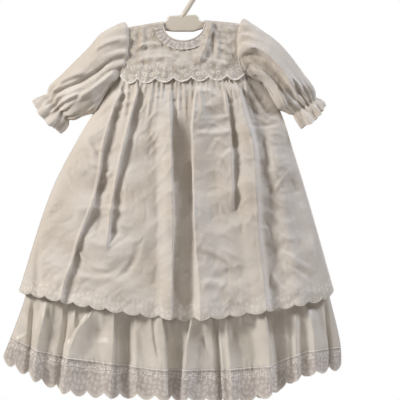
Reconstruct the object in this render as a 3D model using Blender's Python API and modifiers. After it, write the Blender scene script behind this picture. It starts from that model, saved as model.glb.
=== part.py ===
"""A christening gown hanging on its infant hanger, modelled in metres with +Z up.

The origin is the inner top of the hanger's hook, where a rail carries it.
+X is the viewer's right when facing the front of the gown, and -Y is the front.
Every cloth piece is an open grid laid over the gown's half-depth, given a wall by Solidify.
"""
import bpy
import bmesh
from math import sin, cos, acos, atan, pi, sqrt, radians
from mathutils import Vector

# ---- driving dimensions ---------------------------------------------------------------
WALL = 0.0012                 # every cloth wall
SEAM = 0.00015                # half of the 0.3 mm left open at a seam
LIFT = 0.0004                 # clear space under a piece that lies on another
TILT = 0.033                  # the hanger hangs with its right end a little high

TRIM_WIDTH = 0.0150
TRIM_START = 0.020            # share of the neckline left bare at each shoulder

SHOULDER_Z = -0.0665          # shoulder line at the centre
SHOULDER_DROOP = 0.133        # fall of the shoulder line outside the neck
NECK_HALF = 0.036             # half width of the neck opening
NECK_DEPTH = 0.036            # scoop of the neckline below the shoulder line

YOKE_SEAM_Z = -0.158          # seam between the yoke and the gathered skirts
YOKE_EDGE_Z = -0.1665         # cusps of the yoke's free scalloped edge
YOKE_SCALLOPS = 7
YOKE_SCALLOP_DROP = 0.009
YOKE_FLARE = 0.003            # the free edge stands this far off the skirt gathers
ARM_END = 0.66                # share of the armhole that the yoke carries

OVER_SCALLOPS = 20
OVER_SCALLOP_DROP = 0.006
LACE_SCALLOPS = 22
LACE_SCALLOP_DROP = 0.010
BACK_DROP = 0.006             # the back hems hang this much lower
BACK_LAP = 0.008              # each back half runs this far past the centre
LAP_LIFT = WALL + 0.0008      # how far the left half stands off the right one there
TRIM_LIFT = WALL + 0.0010     # outer face of the neck trim off the yoke

FLOUNCE_TOP_Z = -0.470
UNDER_INSET = 0.010           # underskirt inside the overskirt, at the sides
UNDER_SINK = 0.0045           # underskirt inside the overskirt, at its top
FLOUNCE_SINK = 0.014          # flounce inside the overskirt, front and back
CHEST_DEPTH = 0.0175          # how far the chest stands out past the shoulder's roll
HEM_DEPTH = 0.039             # the same at the overskirt's hem
ROLL_DEPTH = 0.0062           # half thickness of the roll over the hanger's arm
ROLL_HEIGHT = 0.0052
ROLL_END = 0.0065             # the rows over the roll end this far below the shoulder line
ROLL_ROWS = 2
YOKE_COLUMNS = 28
YOKE_SHOULDER_COLUMNS = 9     # of those, on each shoulder

# armholes, from the shoulder tip to the underarm, as (x, z)
ARMHOLE_RIGHT = [(0.0980, None), (0.0935, -0.098), (0.0950, -0.130),
                 (0.1020, -0.156), (0.1180, -0.1680), (0.1380, -0.177)]
ARMHOLE_LEFT = [(-0.0980, None), (-0.0985, -0.104), (-0.1015, -0.132),
                (-0.1090, -0.158), (-0.1195, -0.1745), (-0.1330, -0.188)]
# overskirt side seams, (z, x)
OVER_RIGHT = [(-0.177, 0.138), (-0.225, 0.169), (-0.284, 0.189), (-0.382, 0.219), (-0.540, 0.2635)]
OVER_LEFT = [(-0.188, -0.133), (-0.270, -0.184), (-0.368, -0.234), (-0.540, -0.290)]
# flounce and lace side edges, (z, x)
FLOUNCE_RIGHT = [(-0.470, 0.2335), (-0.564, 0.259), (-0.634, 0.275), (-0.676, 0.277)]
FLOUNCE_LEFT = [(-0.470, -0.2575), (-0.564, -0.283), (-0.662, -0.320)]
# hem lines of the lace's seam and of its scallop cusps, (x, z)
LACE_SEAM = [(-0.305, -0.622), (-0.250, -0.646), (-0.130, -0.666), (-0.020, -0.677),
             (0.142, -0.671), (0.210, -0.648), (0.276, -0.640)]
LACE_HEM = [(-0.320, -0.656), (-0.245, -0.694), (-0.190, -0.711), (-0.060, -0.718),
            (0.080, -0.724), (0.147, -0.713), (0.205, -0.682), (0.277, -0.668)]

# sleeve outlines at each ring: place along the sleeve, top (x, z), bottom (x, z), half depth
SLEEVE_RIGHT = [
    (0.00, (0.0980, -0.0720), (0.1380, -0.1740), 0.0170),
    (0.08, (0.1050, -0.0660), (0.1425, -0.1780), 0.0200),
    (0.20, (0.1190, -0.0730), (0.1482, -0.1870), 0.0230),
    (0.35, (0.1400, -0.0855), (0.1541, -0.1972), 0.0245),
    (0.50, (0.1640, -0.1025), (0.1594, -0.2062), 0.0250),
    (0.65, (0.1860, -0.1260), (0.1645, -0.2150), 0.0250),
    (0.80, (0.2070, -0.1545), (0.1700, -0.2215), 0.0225),
    (0.92, (0.2240, -0.1810), (0.1790, -0.2265), 0.0170),
    (1.00, (0.2325, -0.2010), (0.1910, -0.2330), 0.0120),
    (1.07, (0.2400, -0.2080), (0.1985, -0.2420), 0.0150),
    (1.20, (0.2455, -0.2190), (0.2070, -0.2535), 0.0180),
]
SLEEVE_LEFT = [
    (0.00, (-0.0980, -0.0770), (-0.1330, -0.1880), 0.0170),
    (0.08, (-0.1050, -0.0722), (-0.1378, -0.1920), 0.0200),
    (0.20, (-0.1210, -0.0765), (-0.1430, -0.2003), 0.0230),
    (0.35, (-0.1470, -0.0900), (-0.1488, -0.2096), 0.0245),
    (0.50, (-0.1680, -0.1140), (-0.1539, -0.2177), 0.0250),
    (0.65, (-0.1900, -0.1360), (-0.1600, -0.2262), 0.0250),
    (0.80, (-0.2120, -0.1580), (-0.1720, -0.2330), 0.0225),
    (0.92, (-0.2330, -0.1795), (-0.1880, -0.2380), 0.0170),
    (1.00, (-0.2415, -0.1950), (-0.2010, -0.2420), 0.0120),
    (1.07, (-0.2530, -0.2025), (-0.2050, -0.2520), 0.0150),
    (1.20, (-0.2640, -0.2110), (-0.2170, -0.2630), 0.0180),
]
CAP_BOW = 0.023               # how far the sleeve rings bow towards the body
SLEEVE_SEGMENTS = 18
SLEEVE_GAP = 0.0009           # the faceted armhole edges stay this far apart

# main folds of the overskirt's front: ridge line as (z, x), height, left width, right width
FRONT_FOLDS = [
    ([(-0.181, -0.1085), (-0.295, -0.138), (-0.382, -0.156), (-0.470, -0.191), (-0.557, -0.217)],
     0.0075, 0.036, 0.015),
    ([(-0.181, -0.082), (-0.321, -0.121), (-0.480, -0.137)], 0.0050, 0.026, 0.012),
    ([(-0.181, -0.033), (-0.300, -0.030), (-0.408, -0.032), (-0.585, -0.030)], 0.0065, 0.020, 0.016),
    ([(-0.181, 0.030), (-0.295, 0.023), (-0.420, 0.028), (-0.585, 0.030)], 0.0045, 0.012, 0.026),
    ([(-0.177, 0.0665), (-0.225, 0.098), (-0.321, 0.112), (-0.435, 0.121), (-0.580, 0.138)],
     0.0085, 0.034, 0.016),
    ([(-0.177, 0.104), (-0.242, 0.136), (-0.400, 0.170), (-0.560, 0.206)], 0.0045, 0.022, 0.018),
]

# hanger
HANGER_THICK = 0.0070
PLATE_X = -0.0020
PLATE_HALF = 0.0285
PLATE_TOP_Z = -0.0570
PLATE_CORNER = 0.008
PLATE_BOTTOM_Z = -0.0860
ARM_REACH = 0.1265
ARM_HEIGHT = 0.0125
ARM_CLEARANCE = 0.0010        # the cloth rides this far above the arm
HOOK_RADIUS = 0.0205          # centre line of the hook's round
HOOK_BAR = 0.0042             # radius of the hook's round bar
HOOK_LEAN = radians(32)

# ---- small helpers --------------------------------------------------------------------


def mix(a, b, t):
    return a + (b - a) * t


def clamp01(t):
    return max(0.0, min(1.0, t))


def smooth_step(t):
    t = clamp01(t)
    return t * t * (3 - 2 * t)


def curve_through(points, at):
    """Smooth value at `at` through (position, value) points, in either order of position."""
    points = sorted(points)
    if at <= points[0][0]:
        return points[0][1]
    if at >= points[-1][0]:
        return points[-1][1]
    slopes = []
    for i in range(len(points)):
        before = points[max(0, i - 1)]
        after = points[min(len(points) - 1, i + 1)]
        slopes.append((after[1] - before[1]) / (after[0] - before[0]))
    for i in range(len(points) - 1):
        (x0, y0), (x1, y1) = points[i], points[i + 1]
        if at <= x1:
            break
    h = x1 - x0
    t = (at - x0) / h
    keep = (1 + 2 * t) * (1 - t) ** 2 * y0 + t * t * (3 - 2 * t) * y1
    return keep + h * (t * (1 - t) ** 2 * slopes[i] - t * t * (1 - t) * slopes[i + 1])


def path_at(points, t):
    """Point at share t of a smooth path through (x, z) points that are evenly shared out."""
    share = [i / (len(points) - 1) for i in range(len(points))]
    x = curve_through([(s, p[0]) for s, p in zip(share, points)], t)
    z = curve_through([(s, p[1]) for s, p in zip(share, points)], t)
    return x, z


def coons(top, bottom, left, right):
    """Fill four edge curves, each a function of 0..1, with a smooth net of (x, z) points."""
    def place(u, v):
        result = []
        for i in (0, 1):
            straight = mix(top(u)[i], bottom(u)[i], v)
            bend_left = left(v)[i] - mix(top(0)[i], bottom(0)[i], v)
            bend_right = right(v)[i] - mix(top(1)[i], bottom(1)[i], v)
            result.append(straight + (1 - u) * bend_left + u * bend_right)
        return result
    return place


def scallop(u, count, drop):
    return drop * abs(sin(pi * count * u)) ** 0.75


# ---- the gown's form ------------------------------------------------------------------


def shoulder_line(x):
    return SHOULDER_Z + TILT * x - SHOULDER_DROOP * max(0.0, abs(x) - NECK_HALF)


def armhole(side, a):
    points = ARMHOLE_RIGHT if side > 0 else ARMHOLE_LEFT
    tip = points[0][0]
    return path_at([(tip, shoulder_line(tip))] + points[1:], a)


def skirt_sides(z):
    return curve_through(OVER_LEFT, z), curve_through(OVER_RIGHT, z)


def flounce_sides(z):
    return curve_through(FLOUNCE_LEFT, z), curve_through(FLOUNCE_RIGHT, z)


def half_depth(x, z, inset=0.0, sink=0.0, sides=skirt_sides):
    """How far the cloth stands from the middle plane at (x, z)."""
    left, right = sides(z)
    middle = (left + right) / 2
    half = (right - left) / 2 - inset
    s = min(1.0, abs(x - middle) / half)
    below = max(0.0, shoulder_line(x) - z)
    roll = ROLL_DEPTH * sqrt(1 - (1 - min(1.0, below / ROLL_HEIGHT)) ** 2)
    chest = CHEST_DEPTH * smooth_step(below / 0.100)
    skirt = (HEM_DEPTH - CHEST_DEPTH) * clamp01((YOKE_SEAM_Z - z) / 0.430)
    edge = sqrt(1 - s ** 8)
    full = roll * edge + (chest + skirt) * sqrt(1 - s ** 2.2)
    return SEAM + max(0.0, full - sink * edge)


def yoke_depth(x, z):
    below = shoulder_line(x) - z
    return half_depth(x, z) + YOKE_FLARE * smooth_step((below - 0.040) / 0.040)


def ridge(offset, left, right):
    """A soft fold, 1 on its ridge and 0 past its widths."""
    width = left if offset < 0 else right
    return cos(pi / 2 * min(1.0, abs(offset) / width)) ** 2


def side_fade(x, z, sides):
    """0 at the side seams and 1 away from them."""
    left, right = sides(z)
    return smooth_step(min(x - left, right - x) / 0.045)


def gathers(x, z):
    """Fine gathers below the yoke, which open out and fade down the skirt."""
    left, right = skirt_sides(z)
    across = (x - left) / (right - left)
    wave = sin(2 * pi * 9 * across) + 0.6 * sin(2 * pi * 14 * across + 1.3)
    return 0.0009 * wave * (1 - 0.75 * smooth_step((YOKE_SEAM_Z - z) / 0.300))


def below_yoke(z):
    """0 under the yoke's edge and 1 a little way down the overskirt."""
    return smooth_step((YOKE_EDGE_Z - 0.004 - z) / 0.060)


def front_folds(x, z):
    """The overskirt's main folds, which start half as wide and fade in at their upper ends."""
    total = 0.0
    opened = mix(0.5, 1, below_yoke(z))
    for line, height, left, right in FRONT_FOLDS:
        lasting = smooth_step((z - line[-1][0] + 0.050) / 0.050)
        offset = x - curve_through(line, z)
        total += height * ridge(offset, left * opened, right * opened) * lasting
    return total


def over_front_depth(x, z):
    fade = side_fade(x, z, skirt_sides)
    folds = front_folds(x, z) * below_yoke(z)
    return half_depth(x, z) + fade * (folds + gathers(x, z) - 0.0005)


def over_back_depth(x, z):
    left, right = skirt_sides(z)
    across = (x - left) / (right - left)
    folds = 0.0045 * sin(2 * pi * 5 * across + 0.6) ** 2 * below_yoke(z)
    fade = side_fade(x, z, skirt_sides)
    return half_depth(x, z) + fade * (folds + gathers(x, z) - 0.0005)


def under_depth(x, z):
    sink = mix(UNDER_SINK, FLOUNCE_SINK, smooth_step((YOKE_SEAM_Z - z) / 0.2))
    return half_depth(x, z, UNDER_INSET, sink)


def flounce_depth(x, z):
    left, right = flounce_sides(z)
    across = (x - left) / (right - left)
    drop = smooth_step((FLOUNCE_TOP_Z - z) / 0.090)
    wave = sin(2 * pi * 9 * across) + 0.5 * sin(2 * pi * 5 * across + 2.0)
    fade = side_fade(x, z, flounce_sides)
    return half_depth(x, z, 0.0, FLOUNCE_SINK, flounce_sides) + 0.0022 * wave * drop * fade


# ---- making cloth pieces --------------------------------------------------------------


def new_collection(name):
    collection = bpy.data.collections.new(name)
    bpy.context.scene.collection.children.link(collection)
    return collection


def cloth_material(name, colour, roughness=0.85):
    material = bpy.data.materials.new(name)
    material.use_nodes = True
    shader = material.node_tree.nodes["Principled BSDF"]
    shader.inputs["Base Color"].default_value = (*colour, 1)
    shader.inputs["Roughness"].default_value = roughness
    shader.inputs["Metallic"].default_value = 0.0
    material.diffuse_color = (*colour, 1)
    return material


def apply_modifiers(obj):
    bpy.context.view_layer.objects.active = obj
    for modifier in list(obj.modifiers):
        with bpy.context.temp_override(object=obj):
            bpy.ops.object.modifier_apply(modifier=modifier.name)


def cloth_from_grid(name, columns, rows, place, collection, material, wall=WALL, faces_back=False,
                    tube=False, keep_side=0, hole=None):
    """A grid whose points go to place(u, v), thickened inwards.

    keep_side -1 keeps the piece in front of the middle plane and +1 behind it, a tube is
    closed along its first and last column, and hole(u, v) says which faces are cut away.
    """
    mesh = bpy.data.meshes.new(name)
    obj = bpy.data.objects.new(name, mesh)
    collection.objects.link(obj)
    net = bmesh.new()
    bmesh.ops.create_grid(net, x_segments=columns, y_segments=rows, size=0.5)
    if hole:
        cut = [face for face in net.faces
               if hole(face.calc_center_median().x + 0.5, 0.5 - face.calc_center_median().y)]
        bmesh.ops.delete(net, geom=cut, context="FACES")
    for vertex in net.verts:
        u = clamp01(round((vertex.co.x + 0.5) * columns) / columns)
        v = clamp01(round((0.5 - vertex.co.y) * rows) / rows)
        vertex.co = Vector(place(u, v))
    if tube:
        bmesh.ops.remove_doubles(net, verts=net.verts, dist=1e-6)
    if faces_back:
        bmesh.ops.reverse_faces(net, faces=net.faces)
    net.to_mesh(mesh)
    net.free()
    mesh.materials.append(material)
    shell = obj.modifiers.new("wall", "SOLIDIFY")
    shell.thickness = wall
    shell.offset = -1
    apply_modifiers(obj)
    if keep_side:
        for vertex in mesh.vertices:
            vertex.co.y = keep_side * max(SEAM, keep_side * vertex.co.y)
    mesh.shade_smooth()
    return obj


def panel(name, columns, rows, net, depth, side, collection, material, wall=WALL, spacing=1.0):
    """A cloth panel over a net of (x, z) points: side -1 is the front and +1 the back."""
    def place(u, v):
        x, z = net(u, v ** spacing)
        return x, side * depth(x, z), z
    return cloth_from_grid(name, columns, rows, place, collection, material, wall,
                           faces_back=side > 0, keep_side=side)


# ---- yoke -----------------------------------------------------------------------------


def neckline(t):
    """The scooped neckline, from its left end at t = 0 through its lowest point to its right."""
    angle = pi * t
    x = -NECK_HALF * cos(angle)
    return x, shoulder_line(x) - ROLL_END - (NECK_DEPTH - ROLL_END) * sin(angle)


def yoke_place(roll_line, bottom, left, right, rows, depth):
    """Points of a yoke: two rows over the shoulder's roll, then a net down to its lower edge."""
    net = coons(roll_line, bottom, left, right)

    def place(u, v):
        row = round(v * rows)
        if row < ROLL_ROWS:
            x = roll_line(u)[0]
            z = shoulder_line(x) - ROLL_END * (0.0, 0.22)[row]
        else:
            x, z = net(u, ((row - ROLL_ROWS) / (rows - ROLL_ROWS)) ** 1.2)
        return x, depth(x, z), z
    return place


def roll_share(side):
    """Where along the armhole the shoulder's roll ends."""
    tip = armhole(side, 0)
    return 0.2 * ROLL_END / (tip[1] - armhole(side, 0.2)[1])


def shoulder_point(side, share):
    """A point where the roll ends, from the armhole at 0 to the neck at 1."""
    x = mix(armhole(side, roll_share(side))[0], side * NECK_HALF, share)
    return x, shoulder_line(x) - ROLL_END


def front_roll_line(u):
    third = YOKE_SHOULDER_COLUMNS / YOKE_COLUMNS
    if u < third:
        return shoulder_point(-1, u / third)
    if u > 1 - third:
        return shoulder_point(1, (1 - u) / third)
    return neckline((u - third) / (1 - 2 * third))


def front_yoke_bottom(u):
    left = armhole(-1, ARM_END)
    right = armhole(1, ARM_END)
    x = mix(left[0], right[0], u)
    line = mix(left[1], right[1], u)
    sag = (YOKE_EDGE_Z + TILT * x - line) * smooth_step(min(u, 1 - u) / 0.08)
    return x, line + sag - scallop(u, YOKE_SCALLOPS, YOKE_SCALLOP_DROP)


def armhole_edge(side):
    start = roll_share(side)
    return lambda v: armhole(side, mix(start, ARM_END, v))


def make_front_yoke(collection, material):
    rows = 7
    third = YOKE_SHOULDER_COLUMNS / YOKE_COLUMNS
    place = yoke_place(front_roll_line, front_yoke_bottom, armhole_edge(-1), armhole_edge(1), rows,
                       lambda x, z: -yoke_depth(x, z))
    return cloth_from_grid("front_yoke", YOKE_COLUMNS, rows, place, collection, material, keep_side=-1,
                           hole=lambda u, v: third < u < 1 - third and v * rows < ROLL_ROWS)


def make_back_yoke(side, collection, material):
    """One plain back half. The left half laps over the right one along the centre back."""
    rows = 6
    neck_start = 0.5 + side * 0.5
    neck_end = acos(side * BACK_LAP / NECK_HALF) / pi

    def roll_line(u):
        if u < 0.5:
            return shoulder_point(side, u / 0.5)
        return neckline(mix(neck_start, neck_end, (u - 0.5) / 0.5))

    def bottom(u):
        outer = armhole(side, ARM_END)
        x = mix(outer[0], -side * BACK_LAP, u)
        return x, mix(outer[1], YOKE_EDGE_Z + TILT * x, smooth_step(u / 0.2))

    def inner(v):
        return mix(roll_line(1)[0], bottom(1)[0], v), mix(roll_line(1)[1], bottom(1)[1], v)

    def depth(x, z):
        return yoke_depth(x, z) + (LAP_LIFT * smooth_step((x + 0.024) / 0.010) if side < 0 else 0.0)

    place = yoke_place(roll_line, bottom, armhole_edge(side), inner, rows, depth)
    name = "back_yoke_left" if side < 0 else "back_yoke_right"
    return cloth_from_grid(name, 10, rows, place, collection, material, faces_back=side < 0, keep_side=1,
                           hole=lambda u, v: u > 0.5 and v * rows < ROLL_ROWS)


def make_buttons(collection, material):
    for number, z in enumerate((-0.112, -0.132, -0.152), start=1):
        slope = (yoke_depth(0, z - 0.003) - yoke_depth(0, z + 0.003)) / 0.006
        stand = LAP_LIFT + LIFT + 0.0011
        bpy.ops.mesh.primitive_cylinder_add(vertices=12, radius=0.0045, depth=0.0018,
                                            location=(0, yoke_depth(0, z) + stand, z),
                                            rotation=(pi / 2 + atan(slope), 0, 0))
        button = bpy.context.object
        button.name = f"back_button_{number}"
        button.data.name = button.name
        bevel = button.modifiers.new("edge", "BEVEL")
        bevel.width = 0.0004
        bevel.segments = 1
        button.data.materials.append(material)
        move_to(button, collection)


def move_to(obj, collection):
    for owner in list(obj.users_collection):
        owner.objects.unlink(obj)
    collection.objects.link(obj)


def make_neck_trim(columns, collection, material):
    """A lace strip that lies on the front yoke along the neckline."""
    def place(u, v):
        t = mix(TRIM_START, 1 - TRIM_START, u)
        angle = pi * t
        x, z = neckline(t)
        reach = 0.0006 + TRIM_WIDTH * v
        x -= reach * cos(angle)
        z -= reach * sin(angle)
        return x, -yoke_depth(x, z) - TRIM_LIFT, z
    return cloth_from_grid("neck_trim", columns, 2, place, collection, material, keep_side=-1)


# ---- skirts ---------------------------------------------------------------------------


def skirt_top(start, seam_z, armhole_share, inset=0.0):
    """The top edge of a skirt: up the left armhole, along the seam and down the right one."""
    def top(u):
        if u < armhole_share:
            x, z = armhole(-1, mix(1, start, u / armhole_share))
            return x + inset, z - inset * 0.8
        if u > 1 - armhole_share:
            x, z = armhole(1, mix(start, 1, (u - 1 + armhole_share) / armhole_share))
            return x - inset, z - inset * 0.8
        left = armhole(-1, start)
        right = armhole(1, start)
        x = mix(left[0] + inset, right[0] - inset, (u - armhole_share) / (1 - 2 * armhole_share))
        return x, seam_z + TILT * x
    return top


SKIRT_START = 0.62            # where the skirt's top corner meets the armhole


def over_hem(drop, extra=0.0):
    left, right = OVER_LEFT[-1][1], OVER_RIGHT[-1][1]
    middle, half = (left + right) / 2, (right - left) / 2

    def hem(u):
        s = 0.78 * (2 * u - 1) + 0.22 * sin(pi * (u - 0.5))
        x = middle + half * s
        dip = 0.045 * (1 - (abs(x - 0.010) / 0.290) ** 1.4)
        round_end = smooth_step(min(u, 1 - u) / 0.04)
        return x, OVER_LEFT[-1][0] - (dip + extra) * round_end - scallop(u, OVER_SCALLOPS, drop)
    return hem


def make_overskirt(side, columns, rows, collection, material):
    extra = BACK_DROP if side > 0 else 0.0
    hem = over_hem(OVER_SCALLOP_DROP, extra)

    def left(v):
        z = mix(armhole(-1, 1)[1], hem(0)[1], v)
        return curve_through(OVER_LEFT, z), z

    def right(v):
        z = mix(armhole(1, 1)[1], hem(1)[1], v)
        return curve_through(OVER_RIGHT, z), z

    share = 5 / 60 if side < 0 else 3 / 36
    net = coons(skirt_top(SKIRT_START, YOKE_SEAM_Z, share), hem, left, right)
    depth = over_front_depth if side < 0 else over_back_depth
    name = "overskirt_front" if side < 0 else "overskirt_back"
    return panel(name, columns, rows, net, depth, side, collection, material, spacing=1.25)


def make_underskirt(side, collection, material):
    def hem(u):
        return mix(FLOUNCE_LEFT[0][1], FLOUNCE_RIGHT[0][1], u), FLOUNCE_TOP_Z + 2 * SEAM

    def edge(points, hand):
        end = 0 if hand < 0 else 1
        last_inset = hand * (curve_through(points, hem(end)[1]) - hem(end)[0])

        def place(v):
            z = mix(armhole(hand, 1)[1] - UNDER_INSET * 0.8, hem(end)[1], v)
            return curve_through(points, z) - hand * mix(UNDER_INSET, last_inset, v), z
        return place

    top = skirt_top(SKIRT_START, YOKE_SEAM_Z - 0.002, 2 / 14, UNDER_INSET)
    net = coons(top, hem, edge(OVER_LEFT, -1), edge(OVER_RIGHT, 1))
    name = "underskirt_front" if side < 0 else "underskirt_back"
    return panel(name, 14, 4, net, under_depth, side, collection, material, spacing=1.3)


def spread(line):
    """Even points across a hem line that bunch a little towards its two ends."""
    left, right = line[0][0], line[-1][0]
    middle, half = (left + right) / 2, (right - left) / 2

    def at(u):
        x = middle + half * (0.78 * (2 * u - 1) + 0.22 * sin(pi * (u - 0.5)))
        return x, curve_through(line, x)
    return at


def make_flounce(side, columns, rows, collection, material):
    extra = BACK_DROP if side > 0 else 0.0
    seam = spread(LACE_SEAM)

    def top(u):
        s = 0.78 * (2 * u - 1) + 0.22 * sin(pi * (u - 0.5))
        return mix(FLOUNCE_LEFT[0][1], FLOUNCE_RIGHT[0][1], (s + 1) / 2), FLOUNCE_TOP_Z

    def bottom(u):
        x, z = seam(u)
        return x, z - extra * smooth_step(min(u, 1 - u) / 0.2)

    def left(v):
        z = mix(FLOUNCE_TOP_Z, bottom(0)[1], v)
        return curve_through(FLOUNCE_LEFT, z), z

    def right(v):
        z = mix(FLOUNCE_TOP_Z, bottom(1)[1], v)
        return curve_through(FLOUNCE_RIGHT, z), z

    net = coons(top, bottom, left, right)
    name = "flounce_front" if side < 0 else "flounce_back"
    return panel(name, columns, rows, net, flounce_depth, side, collection, material)


def make_lace(side, rows, collection, material):
    extra = BACK_DROP if side > 0 else 0.0
    seam = spread(LACE_SEAM)
    cusps = spread(LACE_HEM)

    def top(u):
        x, z = seam(u)
        return x, z - extra * smooth_step(min(u, 1 - u) / 0.2) - 2 * SEAM

    def bottom(u):
        x, z = cusps(u)
        inner = smooth_step(min(u, 1 - u) / 0.2)
        phase = u + (0.5 / LACE_SCALLOPS * inner if side > 0 else 0.0)
        return x, z - extra * inner - scallop(phase, LACE_SCALLOPS, LACE_SCALLOP_DROP)

    def left(v):
        z = mix(top(0)[1], bottom(0)[1], v)
        return curve_through(FLOUNCE_LEFT, z), z

    def right(v):
        z = mix(top(1)[1], bottom(1)[1], v)
        return curve_through(FLOUNCE_RIGHT, z), z

    net = coons(top, bottom, left, right)
    name = "lace_front" if side < 0 else "lace_back"
    return panel(name, 3 * LACE_SCALLOPS, rows, net, flounce_depth, side, collection, material)


# ---- sleeves --------------------------------------------------------------------------


def make_sleeve(side, collection, material):
    """A tube from the armhole to the frill, drawn in at the wrist."""
    rings = SLEEVE_RIGHT if side > 0 else SLEEVE_LEFT

    def on_armhole(a, face):
        x, z = armhole(side, a)
        gap = SLEEVE_GAP + 0.0017 * ridge(a - 0.58, 0.16, 0.12)    # clears the armhole's bend
        x1, z1 = armhole(side, min(1, a + 0.02))
        x0, z0 = armhole(side, max(0, a - 0.02))
        along = Vector((x1 - x0, z1 - z0)).normalized()
        x += side * gap * -along.y
        z += side * gap * along.x
        depth = yoke_depth(x, z) if a < ARM_END else half_depth(x, z) + 0.0005
        return x, face * max(0.0, depth - SEAM), z

    def place(u, v):
        turn = 2 * pi * u
        share = (1 - cos(turn)) / 2
        face = -1 if u < 0.5 else 1
        index = round(v * (len(rings) - 1))
        along, top, bottom, depth = rings[index]
        if index == 0:
            return on_armhole(share, face)
        bow = CAP_BOW * max(0.0, 1 - along / 0.5) ** 2
        chord = Vector((bottom[0] - top[0], bottom[1] - top[1]))
        inward = Vector((side * chord.y, -side * chord.x)).normalized()
        x = mix(top[0], bottom[0], share) + inward.x * bow * sin(turn) ** 2
        z = mix(top[1], bottom[1], share) + inward.y * bow * sin(turn) ** 2
        y = -depth * sin(turn)
        return x, y, z

    name = "sleeve_right" if side > 0 else "sleeve_left"
    return cloth_from_grid(name, SLEEVE_SEGMENTS, len(rings) - 1, place, collection, material,
                           tube=True, faces_back=side > 0)


# ---- hanger ---------------------------------------------------------------------------


def arm_top(x):
    return shoulder_line(x) - WALL - ARM_CLEARANCE - 0.25 * max(0.0, abs(x) - 0.095)


def corner(centre_x, centre_z, start):
    """A quarter round of the name plate's upper edge."""
    turns = [start + pi / 2 * i / 4 for i in range(5)]
    return [(centre_x + PLATE_CORNER * cos(turn), centre_z + PLATE_CORNER * sin(turn)) for turn in turns]


def hanger_outline():
    """The front outline of plate and arms, anticlockwise from the plate's lower left."""
    left, right = PLATE_X - PLATE_HALF, PLATE_X + PLATE_HALF
    end = 0.006
    points = [(left + 0.010, PLATE_BOTTOM_Z), (right - 0.010, PLATE_BOTTOM_Z)]
    points += [(x, arm_top(x) - ARM_HEIGHT) for x in (right + 0.010, 0.080, ARM_REACH - end)]
    centre_z = arm_top(ARM_REACH - end) - ARM_HEIGHT / 2
    for i in range(1, 6):
        angle = -pi / 2 + pi * i / 6
        points.append((ARM_REACH - end + end * cos(angle), centre_z + ARM_HEIGHT / 2 * sin(angle)))
    points += [(x, arm_top(x)) for x in (ARM_REACH - end, 0.080, NECK_HALF, right + 0.004)]
    points += corner(right - PLATE_CORNER, PLATE_TOP_Z - PLATE_CORNER + TILT * right, 0)
    points += corner(left + PLATE_CORNER, PLATE_TOP_Z - PLATE_CORNER + TILT * left, pi / 2)
    points += [(x, arm_top(x)) for x in (left - 0.004, -NECK_HALF, -0.080, -ARM_REACH + end)]
    centre_z = arm_top(-ARM_REACH + end) - ARM_HEIGHT / 2
    for i in range(1, 6):
        angle = pi / 2 + pi * i / 6
        points.append((-ARM_REACH + end + end * cos(angle), centre_z + ARM_HEIGHT / 2 * sin(angle)))
    points += [(x, arm_top(x) - ARM_HEIGHT) for x in (-ARM_REACH + end, -0.080, left - 0.010)]
    return points


def hook_path():
    """The hook's centre line: a leaning stem, tangent to a round that opens to the left."""
    centre_z = -(HOOK_RADIUS - HOOK_BAR)
    tangent_x = HOOK_RADIUS * cos(HOOK_LEAN)
    tangent_z = centre_z - HOOK_RADIUS * sin(HOOK_LEAN)
    foot_z = PLATE_TOP_Z - 0.006
    run = (tangent_z - foot_z) / cos(HOOK_LEAN)
    points = [(tangent_x - run * sin(HOOK_LEAN), foot_z)]
    points.append((tangent_x - run * 0.5 * sin(HOOK_LEAN), mix(foot_z, tangent_z, 0.5)))
    turns = 18
    for i in range(turns + 1):
        angle = mix(-HOOK_LEAN, radians(205), i / turns)
        points.append((HOOK_RADIUS * cos(angle), centre_z + HOOK_RADIUS * sin(angle)))
    return points


def make_hanger(collection, cutters, material):
    mesh = bpy.data.meshes.new("hanger")
    hanger = bpy.data.objects.new("hanger", mesh)
    collection.objects.link(hanger)
    net = bmesh.new()
    corners = [net.verts.new((x, -HANGER_THICK / 2, z)) for x, z in hanger_outline()]
    face = net.faces.new(corners)
    pulled = bmesh.ops.extrude_face_region(net, geom=[face])
    moved = [item for item in pulled["geom"] if isinstance(item, bmesh.types.BMVert)]
    bmesh.ops.translate(net, vec=(0, HANGER_THICK, 0), verts=moved)
    bmesh.ops.recalc_face_normals(net, faces=net.faces)
    net.to_mesh(mesh)
    net.free()
    mesh.materials.append(material)
    bevel = hanger.modifiers.new("edge", "BEVEL")
    bevel.width = 0.0024
    bevel.segments = 2
    bevel.limit_method = "ANGLE"
    bevel.angle_limit = radians(60)

    line = bpy.data.curves.new("hook", "CURVE")
    line.dimensions = "3D"
    line.bevel_depth = HOOK_BAR
    line.bevel_resolution = 2
    line.use_fill_caps = True
    points = hook_path()
    spline = line.splines.new("POLY")
    spline.points.add(len(points) - 1)
    for point, (x, z) in zip(spline.points, points):
        point.co = (x, 0, z, 1)
    hook_curve = bpy.data.objects.new("hook_line", line)
    cutters.objects.link(hook_curve)
    bpy.context.view_layer.update()
    evaluated = hook_curve.evaluated_get(bpy.context.evaluated_depsgraph_get())
    hook_mesh = bpy.data.meshes.new_from_object(evaluated)
    weld = bmesh.new()
    weld.from_mesh(hook_mesh)
    bmesh.ops.remove_doubles(weld, verts=weld.verts, dist=1e-6)
    bmesh.ops.recalc_face_normals(weld, faces=weld.faces)
    weld.to_mesh(hook_mesh)
    weld.free()
    hook = bpy.data.objects.new("hook", hook_mesh)
    hook.matrix_world = hook_curve.matrix_world
    cutters.objects.link(hook)
    bpy.data.objects.remove(hook_curve)
    hook.hide_render = True
    hook.display_type = "WIRE"
    union = hanger.modifiers.new("hook", "BOOLEAN")
    union.operation = "UNION"
    union.object = hook
    return hanger


# ---- build ----------------------------------------------------------------------------


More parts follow.
